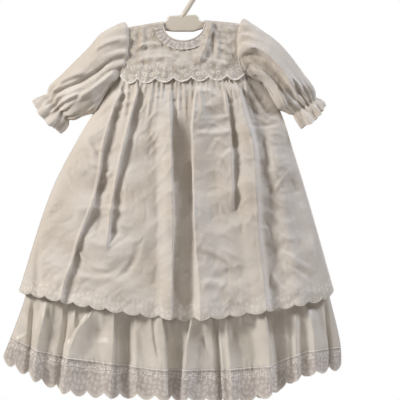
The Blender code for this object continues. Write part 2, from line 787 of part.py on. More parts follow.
def build():
    for obj in list(bpy.data.objects):
        bpy.data.objects.remove(obj)
    gown = new_collection("christening_gown")
    cutters = new_collection("cutters")

    eyelet = cloth_material("ivory_eyelet_cotton", (0.66, 0.62, 0.56))
    batiste = cloth_material("ivory_batiste", (0.64, 0.59, 0.53))
    plain = cloth_material("ivory_plain_cotton", (0.60, 0.56, 0.50))
    satin = cloth_material("ivory_satin", (0.58, 0.55, 0.50), 0.45)
    lace = cloth_material("ivory_lace", (0.52, 0.47, 0.42))
    pearl = cloth_material("pearl_button", (0.80, 0.78, 0.74), 0.25)
    plastic = cloth_material("cream_plastic", (0.62, 0.57, 0.48), 0.35)

    make_hanger(gown, cutters, plastic)
    make_front_yoke(gown, eyelet)
    make_back_yoke(-1, gown, plain)
    make_back_yoke(1, gown, plain)
    make_buttons(gown, pearl)
    make_neck_trim(14, gown, lace)
    make_overskirt(-1, 60, 7, gown, batiste)
    make_overskirt(1, 36, 5, gown, batiste)
    for side in (-1, 1):
        make_underskirt(side, gown, plain)
    make_flounce(-1, 44, 4, gown, satin)
    make_flounce(1, 33, 3, gown, satin)
    make_lace(-1, 2, gown, lace)
    make_lace(1, 1, gown, lace)
    for side in (-1, 1):
        make_sleeve(side, gown, batiste)


build()
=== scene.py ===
import bpy
import numpy as np
from math import pi, radians
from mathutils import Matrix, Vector


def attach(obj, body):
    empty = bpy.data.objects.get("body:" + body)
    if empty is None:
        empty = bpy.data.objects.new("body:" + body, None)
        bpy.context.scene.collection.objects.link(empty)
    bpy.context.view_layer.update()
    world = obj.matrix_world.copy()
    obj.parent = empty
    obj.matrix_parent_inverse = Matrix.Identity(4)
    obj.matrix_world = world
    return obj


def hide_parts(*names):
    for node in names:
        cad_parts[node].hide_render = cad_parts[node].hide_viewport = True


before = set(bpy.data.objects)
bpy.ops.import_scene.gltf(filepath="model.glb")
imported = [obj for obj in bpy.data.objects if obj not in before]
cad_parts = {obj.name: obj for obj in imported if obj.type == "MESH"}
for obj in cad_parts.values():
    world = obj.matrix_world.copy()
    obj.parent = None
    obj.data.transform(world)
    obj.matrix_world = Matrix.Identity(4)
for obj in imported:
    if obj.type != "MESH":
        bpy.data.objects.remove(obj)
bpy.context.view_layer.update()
print("frame loaded")

# the gown's form, in metres: the origin is the top of the hook, -Y is the front
gown = {
    "seam": 0.00015, "tilt": 0.033,
    "shoulderZ": -0.0665, "shoulderDroop": 0.133, "neckHalf": 0.036, "neckDepth": 0.036,
    "yokeSeamZ": -0.158, "yokeEdgeZ": -0.1665, "yokeFlare": 0.003, "flareReach": 0.040,
    "armEnd": 0.66, "skirtStart": 0.62, "backDrop": 0.006, "backLap": 0.008, "lapLift": 0.0020,
    "flounceTopZ": -0.470, "underInset": 0.010, "underSink": 0.0045, "flounceSink": 0.014,
    "chestDepth": 0.0175, "chestReach": 0.100, "hemDepth": 0.039, "hemReach": 0.430,
    "rollDepth": 0.0062, "rollHeight": 0.0052, "rollEnd": 0.0065,
    "armholeRight": [(0.0980, None), (0.0935, -0.098), (0.0950, -0.130),
                     (0.1020, -0.156), (0.1180, -0.1680), (0.1380, -0.177)],
    "armholeLeft": [(-0.0980, None), (-0.0985, -0.104), (-0.1015, -0.132),
                    (-0.1090, -0.158), (-0.1195, -0.1745), (-0.1330, -0.188)],
    "overRight": [(-0.177, 0.138), (-0.225, 0.169), (-0.284, 0.189), (-0.382, 0.219), (-0.540, 0.2635)],
    "overLeft": [(-0.188, -0.133), (-0.270, -0.184), (-0.368, -0.234), (-0.540, -0.290)],
    "flounceRight": [(-0.470, 0.2335), (-0.564, 0.259), (-0.634, 0.275), (-0.676, 0.277)],
    "flounceLeft": [(-0.470, -0.2575), (-0.564, -0.283), (-0.662, -0.320)],
    "laceSeam": [(-0.305, -0.622), (-0.250, -0.646), (-0.130, -0.666), (-0.020, -0.677),
                 (0.142, -0.671), (0.210, -0.648), (0.276, -0.640)],
    "laceHem": [(-0.320, -0.656), (-0.245, -0.694), (-0.190, -0.711), (-0.060, -0.718),
                (0.080, -0.724), (0.147, -0.713), (0.205, -0.682), (0.277, -0.668)],
}
bothEnds = np.array([0.0, 1.0])


def mix(a, b, t):
    return a + (b - a) * t


def smoothStep(t):
    t = np.clip(t, 0, 1)
    return t * t * (3 - 2 * t)


def inward(u, reach):  # 0 at both ends of an edge, 1 from reach inwards
    return smoothStep(np.minimum(u, 1 - u) / reach)


def through(points, at):  # a smooth curve through (place, value) points, flat past its ends
    points = sorted(points)
    place = np.array([p[0] for p in points], float)
    value = np.array([p[1] for p in points], float)
    slope = np.empty_like(value)
    slope[0] = (value[1] - value[0]) / (place[1] - place[0])
    slope[-1] = (value[-1] - value[-2]) / (place[-1] - place[-2])
    slope[1:-1] = (value[2:] - value[:-2]) / (place[2:] - place[:-2])
    at = np.clip(np.asarray(at, float), place[0], place[-1])
    i = np.clip(np.searchsorted(place, at, side="right") - 1, 0, len(place) - 2)
    step = place[i + 1] - place[i]
    t = (at - place[i]) / step
    straight = (1 + 2 * t) * (1 - t) ** 2 * value[i] + t * t * (3 - 2 * t) * value[i + 1]
    return straight + step * (t * (1 - t) ** 2 * slope[i] - t * t * (1 - t) * slope[i + 1])


def pathAt(points, t):  # a path through (x, z) points that are evenly shared out
    share = np.linspace(0, 1, len(points))
    return tuple(through([(s, p[i]) for s, p in zip(share, points)], t) for i in (0, 1))


def fillEdges(top, bottom, left, right, u, v):  # a smooth net between four edge curves
    net = []
    for i in (0, 1):
        straight = mix(top(u)[i][None, :], bottom(u)[i][None, :], v[:, None])
        topEnds, bottomEnds = top(bothEnds)[i], bottom(bothEnds)[i]
        bendLeft = (left(v)[i] - mix(topEnds[0], bottomEnds[0], v))[:, None]
        bendRight = (right(v)[i] - mix(topEnds[1], bottomEnds[1], v))[:, None]
        net.append(straight + (1 - u)[None, :] * bendLeft + u[None, :] * bendRight)
    return net


def sideEdge(points, topZ, bottomZ):  # a panel's side, along one of the gown's side lines
    def at(v):
        z = mix(topZ, bottomZ, v)
        return through(points, z), z
    return at


def hemShare(u):  # -1 to 1 along a hem, a little closer towards its ends
    return 0.78 * (2 * u - 1) + 0.22 * np.sin(pi * (u - 0.5))


def scallop(u, count, drop):
    return drop * np.abs(np.sin(pi * count * u)) ** 0.75


def shoulderLine(x):
    droop = gown["shoulderDroop"] * np.maximum(0, np.abs(x) - gown["neckHalf"])
    return gown["shoulderZ"] + gown["tilt"] * x - droop


def armhole(side, a):
    points = gown["armholeRight"] if side > 0 else gown["armholeLeft"]
    tip = points[0][0]
    return pathAt([(tip, float(shoulderLine(tip)))] + points[1:], a)


def skirtSides(z):
    return through(gown["overLeft"], z), through(gown["overRight"], z)


def flounceSides(z):
    return through(gown["flounceLeft"], z), through(gown["flounceRight"], z)


def halfDepth(x, z, inset=0.0, sink=0.0, sides=skirtSides):  # how far the cloth stands from the middle plane
    left, right = sides(z)
    half = (right - left) / 2 - inset
    s = np.minimum(1, np.abs(x - (left + right) / 2) / half)
    below = np.maximum(0, shoulderLine(x) - z)
    roll = gown["rollDepth"] * np.sqrt(1 - (1 - np.minimum(1, below / gown["rollHeight"])) ** 2)
    chest = gown["chestDepth"] * smoothStep(below / gown["chestReach"])
    skirt = (gown["hemDepth"] - gown["chestDepth"]) * np.clip((gown["yokeSeamZ"] - z) / gown["hemReach"], 0, 1)
    edge = np.sqrt(1 - s ** 8)
    full = roll * edge + (chest + skirt) * np.sqrt(1 - s ** 2.2)
    return gown["seam"] + np.maximum(0, full - sink * edge)


def yokeDepth(x, z):
    flared = smoothStep((shoulderLine(x) - z - gown["flareReach"]) / gown["flareReach"])
    return halfDepth(x, z) + gown["yokeFlare"] * flared


def sideFade(x, z, sides, reach=0.022):  # folds die out towards the side seams
    left, right = sides(z)
    return smoothStep(np.minimum(x - left, right - x) / reach)


# a fold is a ridge along its line of (x, z) points, or a trough where high is negative; left and right are
# its two widths, or upper and lower on a crosswise one; fade is how far it takes to rise at its start and to
# die at its end, lean tips its crest over, under is the hollow that its steep side drops into, and crisp is
# a pressed-looking edge on its crest
crispEdge = {"shift": 0.0015, "broad": 0.0065, "narrow": 0.0030}
hollow = {"away": 1.25, "near": 0.9, "far": 2.2}  # in widths of the steep side


def fold(line, high, left, right, fade, lean=0, under=0, crisp=0, crosswise=False):
    return {"line": line, "high": high, "left": left, "right": right, "fade": fade,
            "lean": lean, "under": under, "crisp": crisp, "crosswise": crosswise}


def crossFold(line, high, upper, lower, fade, **more):
    return fold(line, high, upper, lower, fade, crosswise=True, **more)


def hemFold(line, high, left, right, fade=(0.04, 0), **more):
    return fold(line, high, left, right, fade, **more)


def softRidge(offset, left, right):
    return np.cos(pi / 2 * np.minimum(1, np.abs(offset) / np.where(offset < 0, left, right))) ** 2


def layFolds(folds, x, z):  # the push outwards and the slides to the right and upwards
    push, slideX, slideZ = np.zeros_like(x), np.zeros_like(x), np.zeros_like(x)
    for each in folds:
        crosswise, left, right = each["crosswise"], each["left"], each["right"]
        a, b = (0, 1) if crosswise else (1, 0)
        along, beside = (x, z) if crosswise else (z, x)
        offset = beside - through([(p[a], p[b]) for p in each["line"]], along)
        if crosswise:
            offset = -offset
        low, high = min(p[a] for p in each["line"]), max(p[a] for p in each["line"])
        fromStart, fromEnd = (along - low, high - along) if crosswise else (high - along, along - low)
        startFade, endFade = each["fade"]
        lasting = (smoothStep(fromStart / startFade) if startFade else 1) * \
                  (smoothStep(fromEnd / endFade) if endFade else 1)
        shape = softRidge(offset, left, right) * lasting
        push += each["high"] * shape
        steep, way = min(left, right), 1 if right <= left else -1
        if each["under"]:
            beyond = way * offset - steep * hollow["away"]
            push -= each["under"] * softRidge(beyond, steep * hollow["near"], steep * hollow["far"]) * lasting
        if each["crisp"]:
            widths = (crispEdge["broad"], crispEdge["narrow"])[::way]
            push += each["crisp"] * softRidge(offset - way * crispEdge["shift"], *widths) * lasting
        if crosswise:
            slideZ -= each["lean"] * shape
        else:
            slideX += each["lean"] * shape
    return push, slideX, slideZ


def smallGathers(count, left, right, topZ, spec, seed):  # a row of short soft ridges below a gathered seam
    pick = np.random.default_rng(seed)
    folds = []
    for i in range(count):
        x = mix(left, right, (i + 0.5 + pick.uniform(-0.32, 0.32)) / count)
        z = topZ + gown["tilt"] * x
        length = pick.uniform(*spec["length"])
        drift = (x - (left + right) / 2) * spec["fan"] * length + pick.uniform(-0.004, 0.004)
        folds.append(fold([(x, z + 0.004), (x + drift * 0.4, z - length * 0.45), (x + drift, z - length)],
                          pick.uniform(*spec["high"]), pick.uniform(*spec["wide"]), pick.uniform(*spec["wide"]),
                          (0.0, length * 0.75)))
    return folds


def rumple(x, z, size, high, seed):  # slow unevenness of washed cloth
    pick = np.random.default_rng(seed)
    total = np.zeros_like(x)
    for i in range(7):
        turn, phase = pick.uniform(0, pi), pick.uniform(0, 2 * pi)
        wave = 2 * pi / (size * pick.uniform(0.7, 1.6))
        total += np.sin(wave * (x * np.cos(turn) + z * np.sin(turn)) + phase)
    return high * total / 2.6


def creases(x, z, size, high, seed):  # short soft creases that cross, as in cloth that was folded away
    pick = np.random.default_rng(seed)
    total = np.zeros_like(x)
    for i in range(10):
        turn, wave = pick.uniform(0, pi), pi / (size * pick.uniform(0.7, 1.9))
        a, b, c = pick.uniform(0, 2 * pi, 3)
        along, beside = x * np.cos(turn) + z * np.sin(turn), z * np.cos(turn) - x * np.sin(turn)
        bent = along + 0.35 * size * np.sin(0.7 * wave * beside + a)
        crest = (1 - np.abs(np.sin(wave * bent + b))) ** 2.5
        total += crest * smoothStep(0.15 + 0.9 * np.sin(0.55 * wave * beside + c)) * (1 if i % 3 else -0.8)
    return high * total


def hexColour(code):  # sRGB hex to linear
    parts = [int(code[i:i + 2], 16) / 255 for i in (1, 3, 5)]
    return tuple(p / 12.92 if p <= 0.04045 else ((p + 0.055) / 1.055) ** 2.4 for p in parts) + (1.0,)


def addNode(tree, kind, settings=None, links=None):
    node = tree.nodes.new(kind)
    for key, value in (settings or {}).items():
        if isinstance(key, str) and hasattr(node, key):
            setattr(node, key, value)
        else:
            node.inputs[key].default_value = value
    for key, source in (links or {}).items():
        tree.links.new(source, node.inputs[key])
    return node


def newMaterial(name, shaderSettings, spotKind="UV"):
    material = bpy.data.materials.new(name)
    material.use_nodes = True
    tree = material.node_tree
    shader = tree.nodes["Principled BSDF"]
    for key, value in shaderSettings.items():
        shader.inputs[key].default_value = value
    return material, tree, shader, addNode(tree, "ShaderNodeTexCoord").outputs[spotKind]


def noise(tree, spot, scale, detail, flat=True, distortion=0.0):
    settings = {"noise_dimensions": "2D" if flat else "3D", "Scale": scale, "Detail": detail,
                "Distortion": distortion}
    return addNode(tree, "ShaderNodeTexNoise", settings, {"Vector": spot}).outputs["Fac"]


def cells(tree, spot, size, randomness, feature="F1"):  # distances in a scatter of spots that are size apart
    settings = {"voronoi_dimensions": "2D", "feature": feature, "Scale": 1 / size, "Randomness": randomness}
    return addNode(tree, "ShaderNodeTexVoronoi", settings, {"Vector": spot}).outputs["Distance"]


waveScale = 0.314  # a wave texture of this scale repeats once in a metre


def weave(tree, spot, thread, distortion):  # warp and weft, thread metres apart
    settings = {"Scale": waveScale / thread, "Detail": 1.0, "Distortion": distortion}
    parts = [addNode(tree, "ShaderNodeTexWave", {"bands_direction": way, **settings}, {"Vector": spot})
             for way in ("X", "Y")]
    return calc(tree, "ADD", *(part.outputs["Fac"] for part in parts))


def calc(tree, operation, *parts):  # shader maths on sockets and plain numbers
    numbers = {i: part for i, part in enumerate(parts) if isinstance(part, float)}
    sockets = {i: part for i, part in enumerate(parts) if not isinstance(part, float)}
    return addNode(tree, "ShaderNodeMath", {"operation": operation, **numbers}, sockets).outputs[0]


def ramp(tree, value, start, end, least=0.0, most=1.0, kind="SMOOTHSTEP"):
    settings = {"interpolation_type": kind, "From Min": start, "From Max": end, "To Min": least, "To Max": most}
    return addNode(tree, "ShaderNodeMapRange", settings, {"Value": value}).outputs[0]


def tint(tree, share, first, second):  # from the first colour, or a socket, to the second
    settings, links = {"data_type": "RGBA", 7: hexColour(second)}, {0: share}
    if isinstance(first, str):
        settings[6] = hexColour(first)
    else:
        links[6] = first
    return addNode(tree, "ShaderNodeMix", settings, links).outputs[2]


def paint(tree, shader, colour):
    tree.links.new(colour, shader.inputs["Base Color"])


def relief(tree, shader, height, strength, distance):
    bump = addNode(tree, "ShaderNodeBump", {"Strength": strength, "Distance": distance}, {"Height": height})
    tree.links.new(bump.outputs[0], shader.inputs["Normal"])


def cutHeight(tree, uv):  # height on the cut cloth, above its lower edge
    return addNode(tree, "ShaderNodeSeparateXYZ", None, {0: uv}).outputs["Y"]


# cotton batiste: fine plain weave, faint sheen, small embroidered sprigs; the skirt's hem is worked more closely
batisteSpec = {"cloth": "#E2DED8", "shade": "#DCD6CD", "sprig": "#EFEDE8",
               "thread": 0.0006, "sprigGap": (0.014, 0.011), "flowerGap": 0.0085}  # thread at twice its real size


def makeBatiste(name, hemWork):
    spec = batisteSpec
    material, tree, shader, uv = newMaterial(name, {
        "Roughness": 0.78, "Sheen Weight": 0.25, "Sheen Roughness": 0.45, "Specular IOR Level": 0.35})
    perGap = (1 / spec["sprigGap"][0], 1 / spec["sprigGap"][1], 1)
    sprigSpots = addNode(tree, "ShaderNodeMapping", {"Scale": perGap}, {"Vector": uv}).outputs[0]
    leaf = noise(tree, uv, 520.0, 1.0)
    ragged = calc(tree, "MULTIPLY_ADD", leaf, 0.22, cells(tree, sprigSpots, 1.0, 0.25))
    sprig = ramp(tree, ragged, 0.24, 0.17, most=0.65)
    if hemWork:
        curled = calc(tree, "MULTIPLY_ADD", leaf, 0.45, cells(tree, uv, spec["flowerGap"], 0.6))
        nearHem = ramp(tree, cutHeight(tree, uv), hemWork, hemWork * 0.75)
        worked = calc(tree, "MULTIPLY", ramp(tree, curled, 0.62, 0.48, most=0.75), nearHem)
        sprig = calc(tree, "MAXIMUM", sprig, worked)
    patch = ramp(tree, noise(tree, uv, 14.0, 3.0), 0.36, 0.60, kind="LINEAR")
    paint(tree, shader, tint(tree, sprig, tint(tree, patch, spec["shade"], spec["cloth"]), spec["sprig"]))
    raised = calc(tree, "MULTIPLY_ADD", sprig, 4.0, weave(tree, uv, spec["thread"], 0.8))
    relief(tree, shader, raised, 0.35, 0.00012)
    return material


# eyelet cotton: satin-stitched flowers with a worked hole in each, close above the scallops, sparse higher up
eyeletSpec = {"cloth": "#D4CFC7", "shade": "#C4BDB2", "stitch": "#E6E3DD", "workHigh": 0.032, "flowerGap": 0.0125}


def makeEyelet():
    spec = eyeletSpec
    material, tree, shader, uv = newMaterial("eyelet cotton", {"Roughness": 0.82, "Sheen Weight": 0.25,
                                                               "Specular IOR Level": 0.3})
    flowers = cells(tree, uv, spec["flowerGap"], 0.45)
    curled = calc(tree, "MULTIPLY_ADD", noise(tree, uv, 330.0, 1.0), 0.50, flowers)
    low = ramp(tree, cutHeight(tree, uv), spec["workHigh"] * 1.1, spec["workHigh"] * 0.8)
    share = ramp(tree, low, 0.0, 1.0, least=0.35, kind="LINEAR")
    stitch = calc(tree, "MULTIPLY", ramp(tree, curled, 0.66, 0.54), share)
    hole = calc(tree, "MULTIPLY", ramp(tree, flowers, 0.10, 0.07, most=0.6), low)
    tree.links.new(calc(tree, "SUBTRACT", 1.0, hole), shader.inputs["Alpha"])
    patch = ramp(tree, noise(tree, uv, 34.0, 4.0), 0.38, 0.60, kind="LINEAR")
    paint(tree, shader, tint(tree, stitch, tint(tree, patch, spec["shade"], spec["cloth"]), spec["stitch"]))
    relief(tree, shader, stitch, 0.6, 0.0005)
    return material


# plain cotton lawn for the back yokes and the hidden underskirt
plainSpec = {"cloth": "#DCD6CC", "shade": "#D1CABE", "thread": 0.0007}


def makePlainCotton():
    spec = plainSpec
    material, tree, shader, uv = newMaterial("plain cotton lawn", {"Roughness": 0.85, "Sheen Weight": 0.2,
                                                                   "Specular IOR Level": 0.3})
    paint(tree, shader, tint(tree, noise(tree, uv, 16.0, 3.0), spec["shade"], spec["cloth"]))
    relief(tree, shader, weave(tree, uv, spec["thread"], 1.0), 0.4, 0.00012)
    return material


# acetate satin: long floats give a soft streaked gloss down the cloth
satinSpec = {"cloth": "#E8E5DF", "shade": "#D3CDC2", "float": (0.0006, 0.006), "gloss": (0.30, 0.44)}


def makeSatin():
    spec = satinSpec
    material, tree, shader, uv = newMaterial("ivory satin", {"Roughness": 0.36, "Sheen Weight": 0.3,
                                                             "Sheen Roughness": 0.3, "Specular IOR Level": 0.75})
    perFloat = (1 / spec["float"][0], 1 / spec["float"][1], 1)
    floats = addNode(tree, "ShaderNodeMapping", {"Scale": perFloat}, {"Vector": uv}).outputs[0]
    streak = noise(tree, floats, 1.0, 2.0)
    paint(tree, shader, tint(tree, noise(tree, uv, 12.0, 2.0), spec["shade"], spec["cloth"]))
    tree.links.new(ramp(tree, streak, 0.0, 1.0, *spec["gloss"], kind="LINEAR"), shader.inputs["Roughness"])
    relief(tree, shader, streak, 0.2, 0.0001)
    return material


# net lace: a fine net with soft flowers, a row of bright loops below its seam and a close edge; the net is painted
# greyer than the flowers, partly its own colour and partly painted shade from behind showing through its holes
laceSpec = {"net": "#C4BDB9", "flower": "#D3CEC9", "loop": "#F2F0EC",
            "mesh": 0.0014, "motif": 0.0090, "bead": 0.0048}


def makeLace(name, high):
    spec = laceSpec
    material, tree, shader, uv = newMaterial(name, {"Roughness": 0.72, "Sheen Weight": 0.25,
                                                    "Specular IOR Level": 0.35})
    height = cutHeight(tree, uv)
    net = ramp(tree, cells(tree, uv, spec["mesh"], 0.3, "DISTANCE_TO_EDGE"), 0.34, 0.16, least=0.74)
    petal = calc(tree, "MULTIPLY_ADD", noise(tree, uv, 300.0, 2.0), 0.7, cells(tree, uv, spec["motif"], 0.6))
    closeEdge = ramp(tree, height, high * 0.16, high * 0.06)
    worked = calc(tree, "MAXIMUM", ramp(tree, petal, 0.84, 0.62), closeEdge)
    tree.links.new(calc(tree, "MAXIMUM", net, worked), shader.inputs["Alpha"])
    belowSeam = ramp(tree, height, high * 0.92, high * 0.86)
    row = calc(tree, "MULTIPLY", belowSeam, ramp(tree, height, high * 0.68, high * 0.74, kind="LINEAR"))
    bead = calc(tree, "MULTIPLY", row, ramp(tree, cells(tree, uv, spec["bead"], 0.5), 0.36, 0.24))
    # the net's grey ground is partly painted shade: it stands for the shadow behind the lace seen through the
    # net's holes, on top of the real see-through alpha
    paint(tree, shader, tint(tree, bead, tint(tree, worked, spec["net"], spec["flower"]), spec["loop"]))
    relief(tree, shader, calc(tree, "MAXIMUM", worked, net), 0.7, 0.0004)
    return material


# mercerised embroidery cord, twisted, paler than the cloth
def makeCordThread(name, code, twist=0.0009):
    material, tree, shader, spot = newMaterial(name, {"Base Color": hexColour(code), "Roughness": 0.6,
                                                      "Sheen Weight": 0.3, "Specular IOR Level": 0.45}, "Object")
    turns = addNode(tree, "ShaderNodeTexWave", {"bands_direction": "DIAGONAL", "Scale": waveScale / twist,
                                                "Distortion": 1.5}, {"Vector": spot}).outputs["Fac"]
    relief(tree, shader, turns, 0.5, 0.0002)
    return material


# moulded cream polystyrene: soft gloss with a faint orange-peel skin
def makeHangerPlastic():
    material, tree, shader, spot = newMaterial("cream moulded polystyrene", {
        "Roughness": 0.32, "IOR": 1.59, "Coat Weight": 0.15, "Coat Roughness": 0.2}, "Object")
    paint(tree, shader, tint(tree, noise(tree, spot, 30.0, 2.0, flat=False), "#E0DACD", "#E9E4DA"))
    relief(tree, shader, noise(tree, spot, 900.0, 1.0, flat=False), 0.12, 0.0001)
    return material


# pearl polyester button: cloudy with a clear coat
def makePearl():
    material, tree, shader, spot = newMaterial("pearl polyester", {
        "Roughness": 0.25, "Coat Weight": 0.5, "Coat Roughness": 0.08, "IOR": 1.55}, "Object")
    cloud = noise(tree, spot, 260.0, 2.0, flat=False, distortion=1.5)
    paint(tree, shader, tint(tree, cloud, "#DCD7CC", "#F4F1EA"))
    return material


batiste = makeBatiste("sprigged cotton batiste", 0)
hemBatiste = makeBatiste("sprigged cotton batiste with worked hem", 0.024)
eyelet = makeEyelet()
plainCotton = makePlainCotton()
satin = makeSatin()
lace = makeLace("net lace", 0.055)
narrowLace = makeLace("narrow net lace", 0.0155)
cordThread = makeCordThread("embroidery cord", "#EAE6DF")
seamThread = makeCordThread("bright seam cord", "#F6F4F0")
hangerPlastic = makeHangerPlastic()
pearl = makePearl()
print("materials made")

# studio: a disc of pale floor under the hem, a bright pale world, warm light from the left, cool from the right
studio = {"cameraSpot": (0.028, -3.0, -0.382), "lens": 153.5, "sensor": 36, "aim": (0.0, 0.0, -0.40),
          "floorZ": -0.80, "floorRadius": 0.52, "floorColour": (0.88, 0.88, 0.88, 1),
          "worldSeen": 1.0, "worldLight": 0.16, "worldTint": "#FFEBD6",
          "lamps": [("window light", (-1.50, -0.95, 0.50), 0.50, 30.0, "#FFF9F3"),
                    ("room light", (1.50, -0.50, 1.00), 0.5, 25.0, "#F0F4FF"),
                    ("back light", (0.7, 1.6, 0.4), 0.6, 30.0, "#FFF8EE")]}


def makeStudio():
    bpy.ops.object.select_all(action="DESELECT")
    bpy.ops.object.camera_add(location=studio["cameraSpot"], rotation=(radians(90), 0, 0))
    camera = bpy.context.object
    camera.data.lens = studio["lens"]
    camera.data.sensor_width = studio["sensor"]
    camera.data.clip_end = 20
    bpy.context.scene.camera = camera
    for name, spot, size, power, code in studio["lamps"]:
        bpy.ops.object.light_add(type="AREA", location=spot)
        lamp = bpy.context.object
        lamp.name = name
        lamp.data.shape = "SQUARE"
        lamp.data.size = size
        lamp.data.energy = power
        lamp.data.color = hexColour(code)[:3]
        lamp.rotation_euler = (Vector(studio["aim"]) - Vector(spot)).to_track_quat("-Z", "Y").to_euler()
    world = bpy.data.worlds.new("pale studio")
    bpy.context.scene.world = world
    world.use_nodes = True
    tree = world.node_tree
    sky = tree.nodes["Background"]
    seen = addNode(tree, "ShaderNodeLightPath").outputs["Is Camera Ray"]
    level = ramp(tree, seen, 0.0, 1.0, studio["worldLight"], studio["worldSeen"], kind="LINEAR")
    tree.links.new(level, sky.inputs["Strength"])
    tree.links.new(tint(tree, seen, studio["worldTint"], "#FFFFFF"), sky.inputs["Color"])
    floorPaint, tree, shader, spot = newMaterial("pale floor", {
        "Base Color": studio["floorColour"], "Roughness": 0.9}, "Object")
    relief(tree, shader, noise(tree, spot, 60.0, 3.0, flat=False), 0.05, 0.001)
    bpy.ops.mesh.primitive_circle_add(vertices=96, radius=studio["floorRadius"], fill_type="NGON",
                                      location=(0, 0, studio["floorZ"]))
    floor = bpy.context.object
    floor.name = "floor"
    floor.data.materials.append(floorPaint)
    bpy.context.scene.view_settings.view_transform = "Standard"


makeStudio()
print("studio made")


def newGrid(name, columns, rows):  # a flat grid, with the column and the row of each of its vertices
    bpy.ops.object.select_all(action="DESELECT")
    bpy.ops.mesh.primitive_grid_add(x_subdivisions=columns, y_subdivisions=rows, size=1)
    piece = bpy.context.object
    mesh = piece.data
    piece.name = mesh.name = name
    spots = np.empty(len(mesh.vertices) * 3)
    mesh.vertices.foreach_get("co", spots)
    spots = spots.reshape(-1, 3)
    across, down = (spots[:, 0] + 0.5) * columns, (0.5 - spots[:, 1]) * rows
    return piece, np.rint(across).astype(int), np.rint(down).astype(int)


def weld(outward=False):
    bpy.ops.object.mode_set(mode="EDIT")
    bpy.ops.mesh.select_all(action="SELECT")
    bpy.ops.mesh.remove_doubles(threshold=1e-6)
    if outward:
        bpy.ops.mesh.normals_make_consistent(inside=False)
    bpy.ops.object.mode_set(mode="OBJECT")


def clothPiece(name, spec, shape, material, turned=False, wall=0.0007, tube=False, cut=None):
    # a grid laid on the form that shape(u, v) gives, with the cut size in its UVs and a thin wall inside
    columns, rows, flat = spec["columns"], spec["rows"], spec["flat"]
    piece, across, down = newGrid(name, columns, rows)
    mesh = piece.data
    net = shape(np.linspace(0, 1, columns + 1), np.linspace(0, 1, rows + 1))
    placed = np.stack([part[down, across] for part in net], axis=1)
    mesh.vertices.foreach_set("co", placed.ravel())
    corners = np.empty(len(mesh.loops), dtype=np.int32)
    mesh.loops.foreach_get("vertex_index", corners)
    uv = np.stack([across[corners] / columns * flat[0], (1 - down[corners] / rows) * flat[1]], axis=1)
    mesh.uv_layers.active.data.foreach_set("uv", uv.ravel())
    if turned:
        mesh.flip_normals()
    mesh.update()
    if cut is not None:  # the cut-out part's vertices go, with their faces
        bpy.ops.object.mode_set(mode="EDIT")
        bpy.ops.mesh.select_all(action="DESELECT")
        bpy.ops.object.mode_set(mode="OBJECT")
        mesh.vertices.foreach_set("select", cut(across / columns, down))
        bpy.ops.object.mode_set(mode="EDIT")
        bpy.ops.mesh.select_mode(type="VERT")
        bpy.ops.mesh.delete(type="VERT")
        bpy.ops.object.mode_set(mode="OBJECT")
    if tube:
        weld()
    shell = piece.modifiers.new("wall", "SOLIDIFY")
    shell.thickness = wall
    shell.offset = -1
    bpy.ops.object.modifier_apply(modifier="wall")
    bpy.ops.object.shade_smooth()
    mesh.materials.append(material)
    return piece, net


def edgeOf(net, part, shift=(0, 0, 0)):  # one row or column of a piece's net, moved a little
    return np.stack([axis[part] for axis in net], axis=1) + shift


def edgeCord(name, path, radius, material, sides=6, rounded=False):  # a round cord, closed at both ends
    piece, along, around = newGrid(name, len(path) - 1, sides)
    mesh = piece.data
    turn = 2 * pi * around / sides
    run = np.gradient(path, axis=0)
    run /= np.maximum(1e-9, np.linalg.norm(run, axis=1))[:, None]
    first = np.cross(run, np.array([0.0, 1.0, 0.0]))
    first /= np.maximum(1e-9, np.linalg.norm(first, axis=1))[:, None]
    second = np.cross(run, first)
    size = np.full(len(path), radius)
    if rounded:
        gone = np.concatenate([[0], np.cumsum(np.linalg.norm(np.diff(path, axis=0), axis=1))])
        size = radius * np.sqrt(1 - (1 - np.minimum(1, np.minimum(gone, gone[-1] - gone) / radius)) ** 2)
    size[0] = size[-1] = 0
    out = np.cos(turn)[:, None] * first[along] + np.sin(turn)[:, None] * second[along]
    mesh.vertices.foreach_set("co", (path[along] + size[along][:, None] * out).ravel())
    mesh.update()
    weld(outward=True)
    bpy.ops.object.shade_smooth()
    mesh.materials.append(material)
    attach(piece, "root")
    return piece


def standFor(piece, node):
    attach(piece, "root")
    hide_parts(node)


# the overskirt: gathered into the yoke seam, long pleats down the front, scalloped embroidered hem
overFront = {"columns": 300, "rows": 146, "cornerShare": 5 / 60, "scallops": 20, "drop": 0.006,
             "flat": (0.62, 0.43), "area": 0.225}
overBack = {"columns": 220, "rows": 110, "cornerShare": 3 / 36, "scallops": 20, "drop": 0.006,
            "flat": (0.62, 0.43), "area": 0.225}
overGathers = {"length": (0.030, 0.110), "high": (0.0022, 0.0048), "wide": (0.0034, 0.0062), "fan": 2.2}
overHang = {"pressed": 0.50, "opensIn": 0.045,  # pressed flat under the yoke
            "lift": 0.0045, "liftZ": -0.500, "liftsIn": 0.060,  # the flounce below holds the hem out
            "proud": 0.048, "proudMost": 0.0125}  # the folds that stand furthest out hang a little flatter
overRumples = [(0.130, 0.0026, 13), (0.060, 0.0017, 3)]  # size, height and seed of each
overCreases = (0.034, 0.0014, 7)
overHemLine = {"dip": 0.045, "middle": 0.010, "half": 0.290, "roundEnd": 0.04}
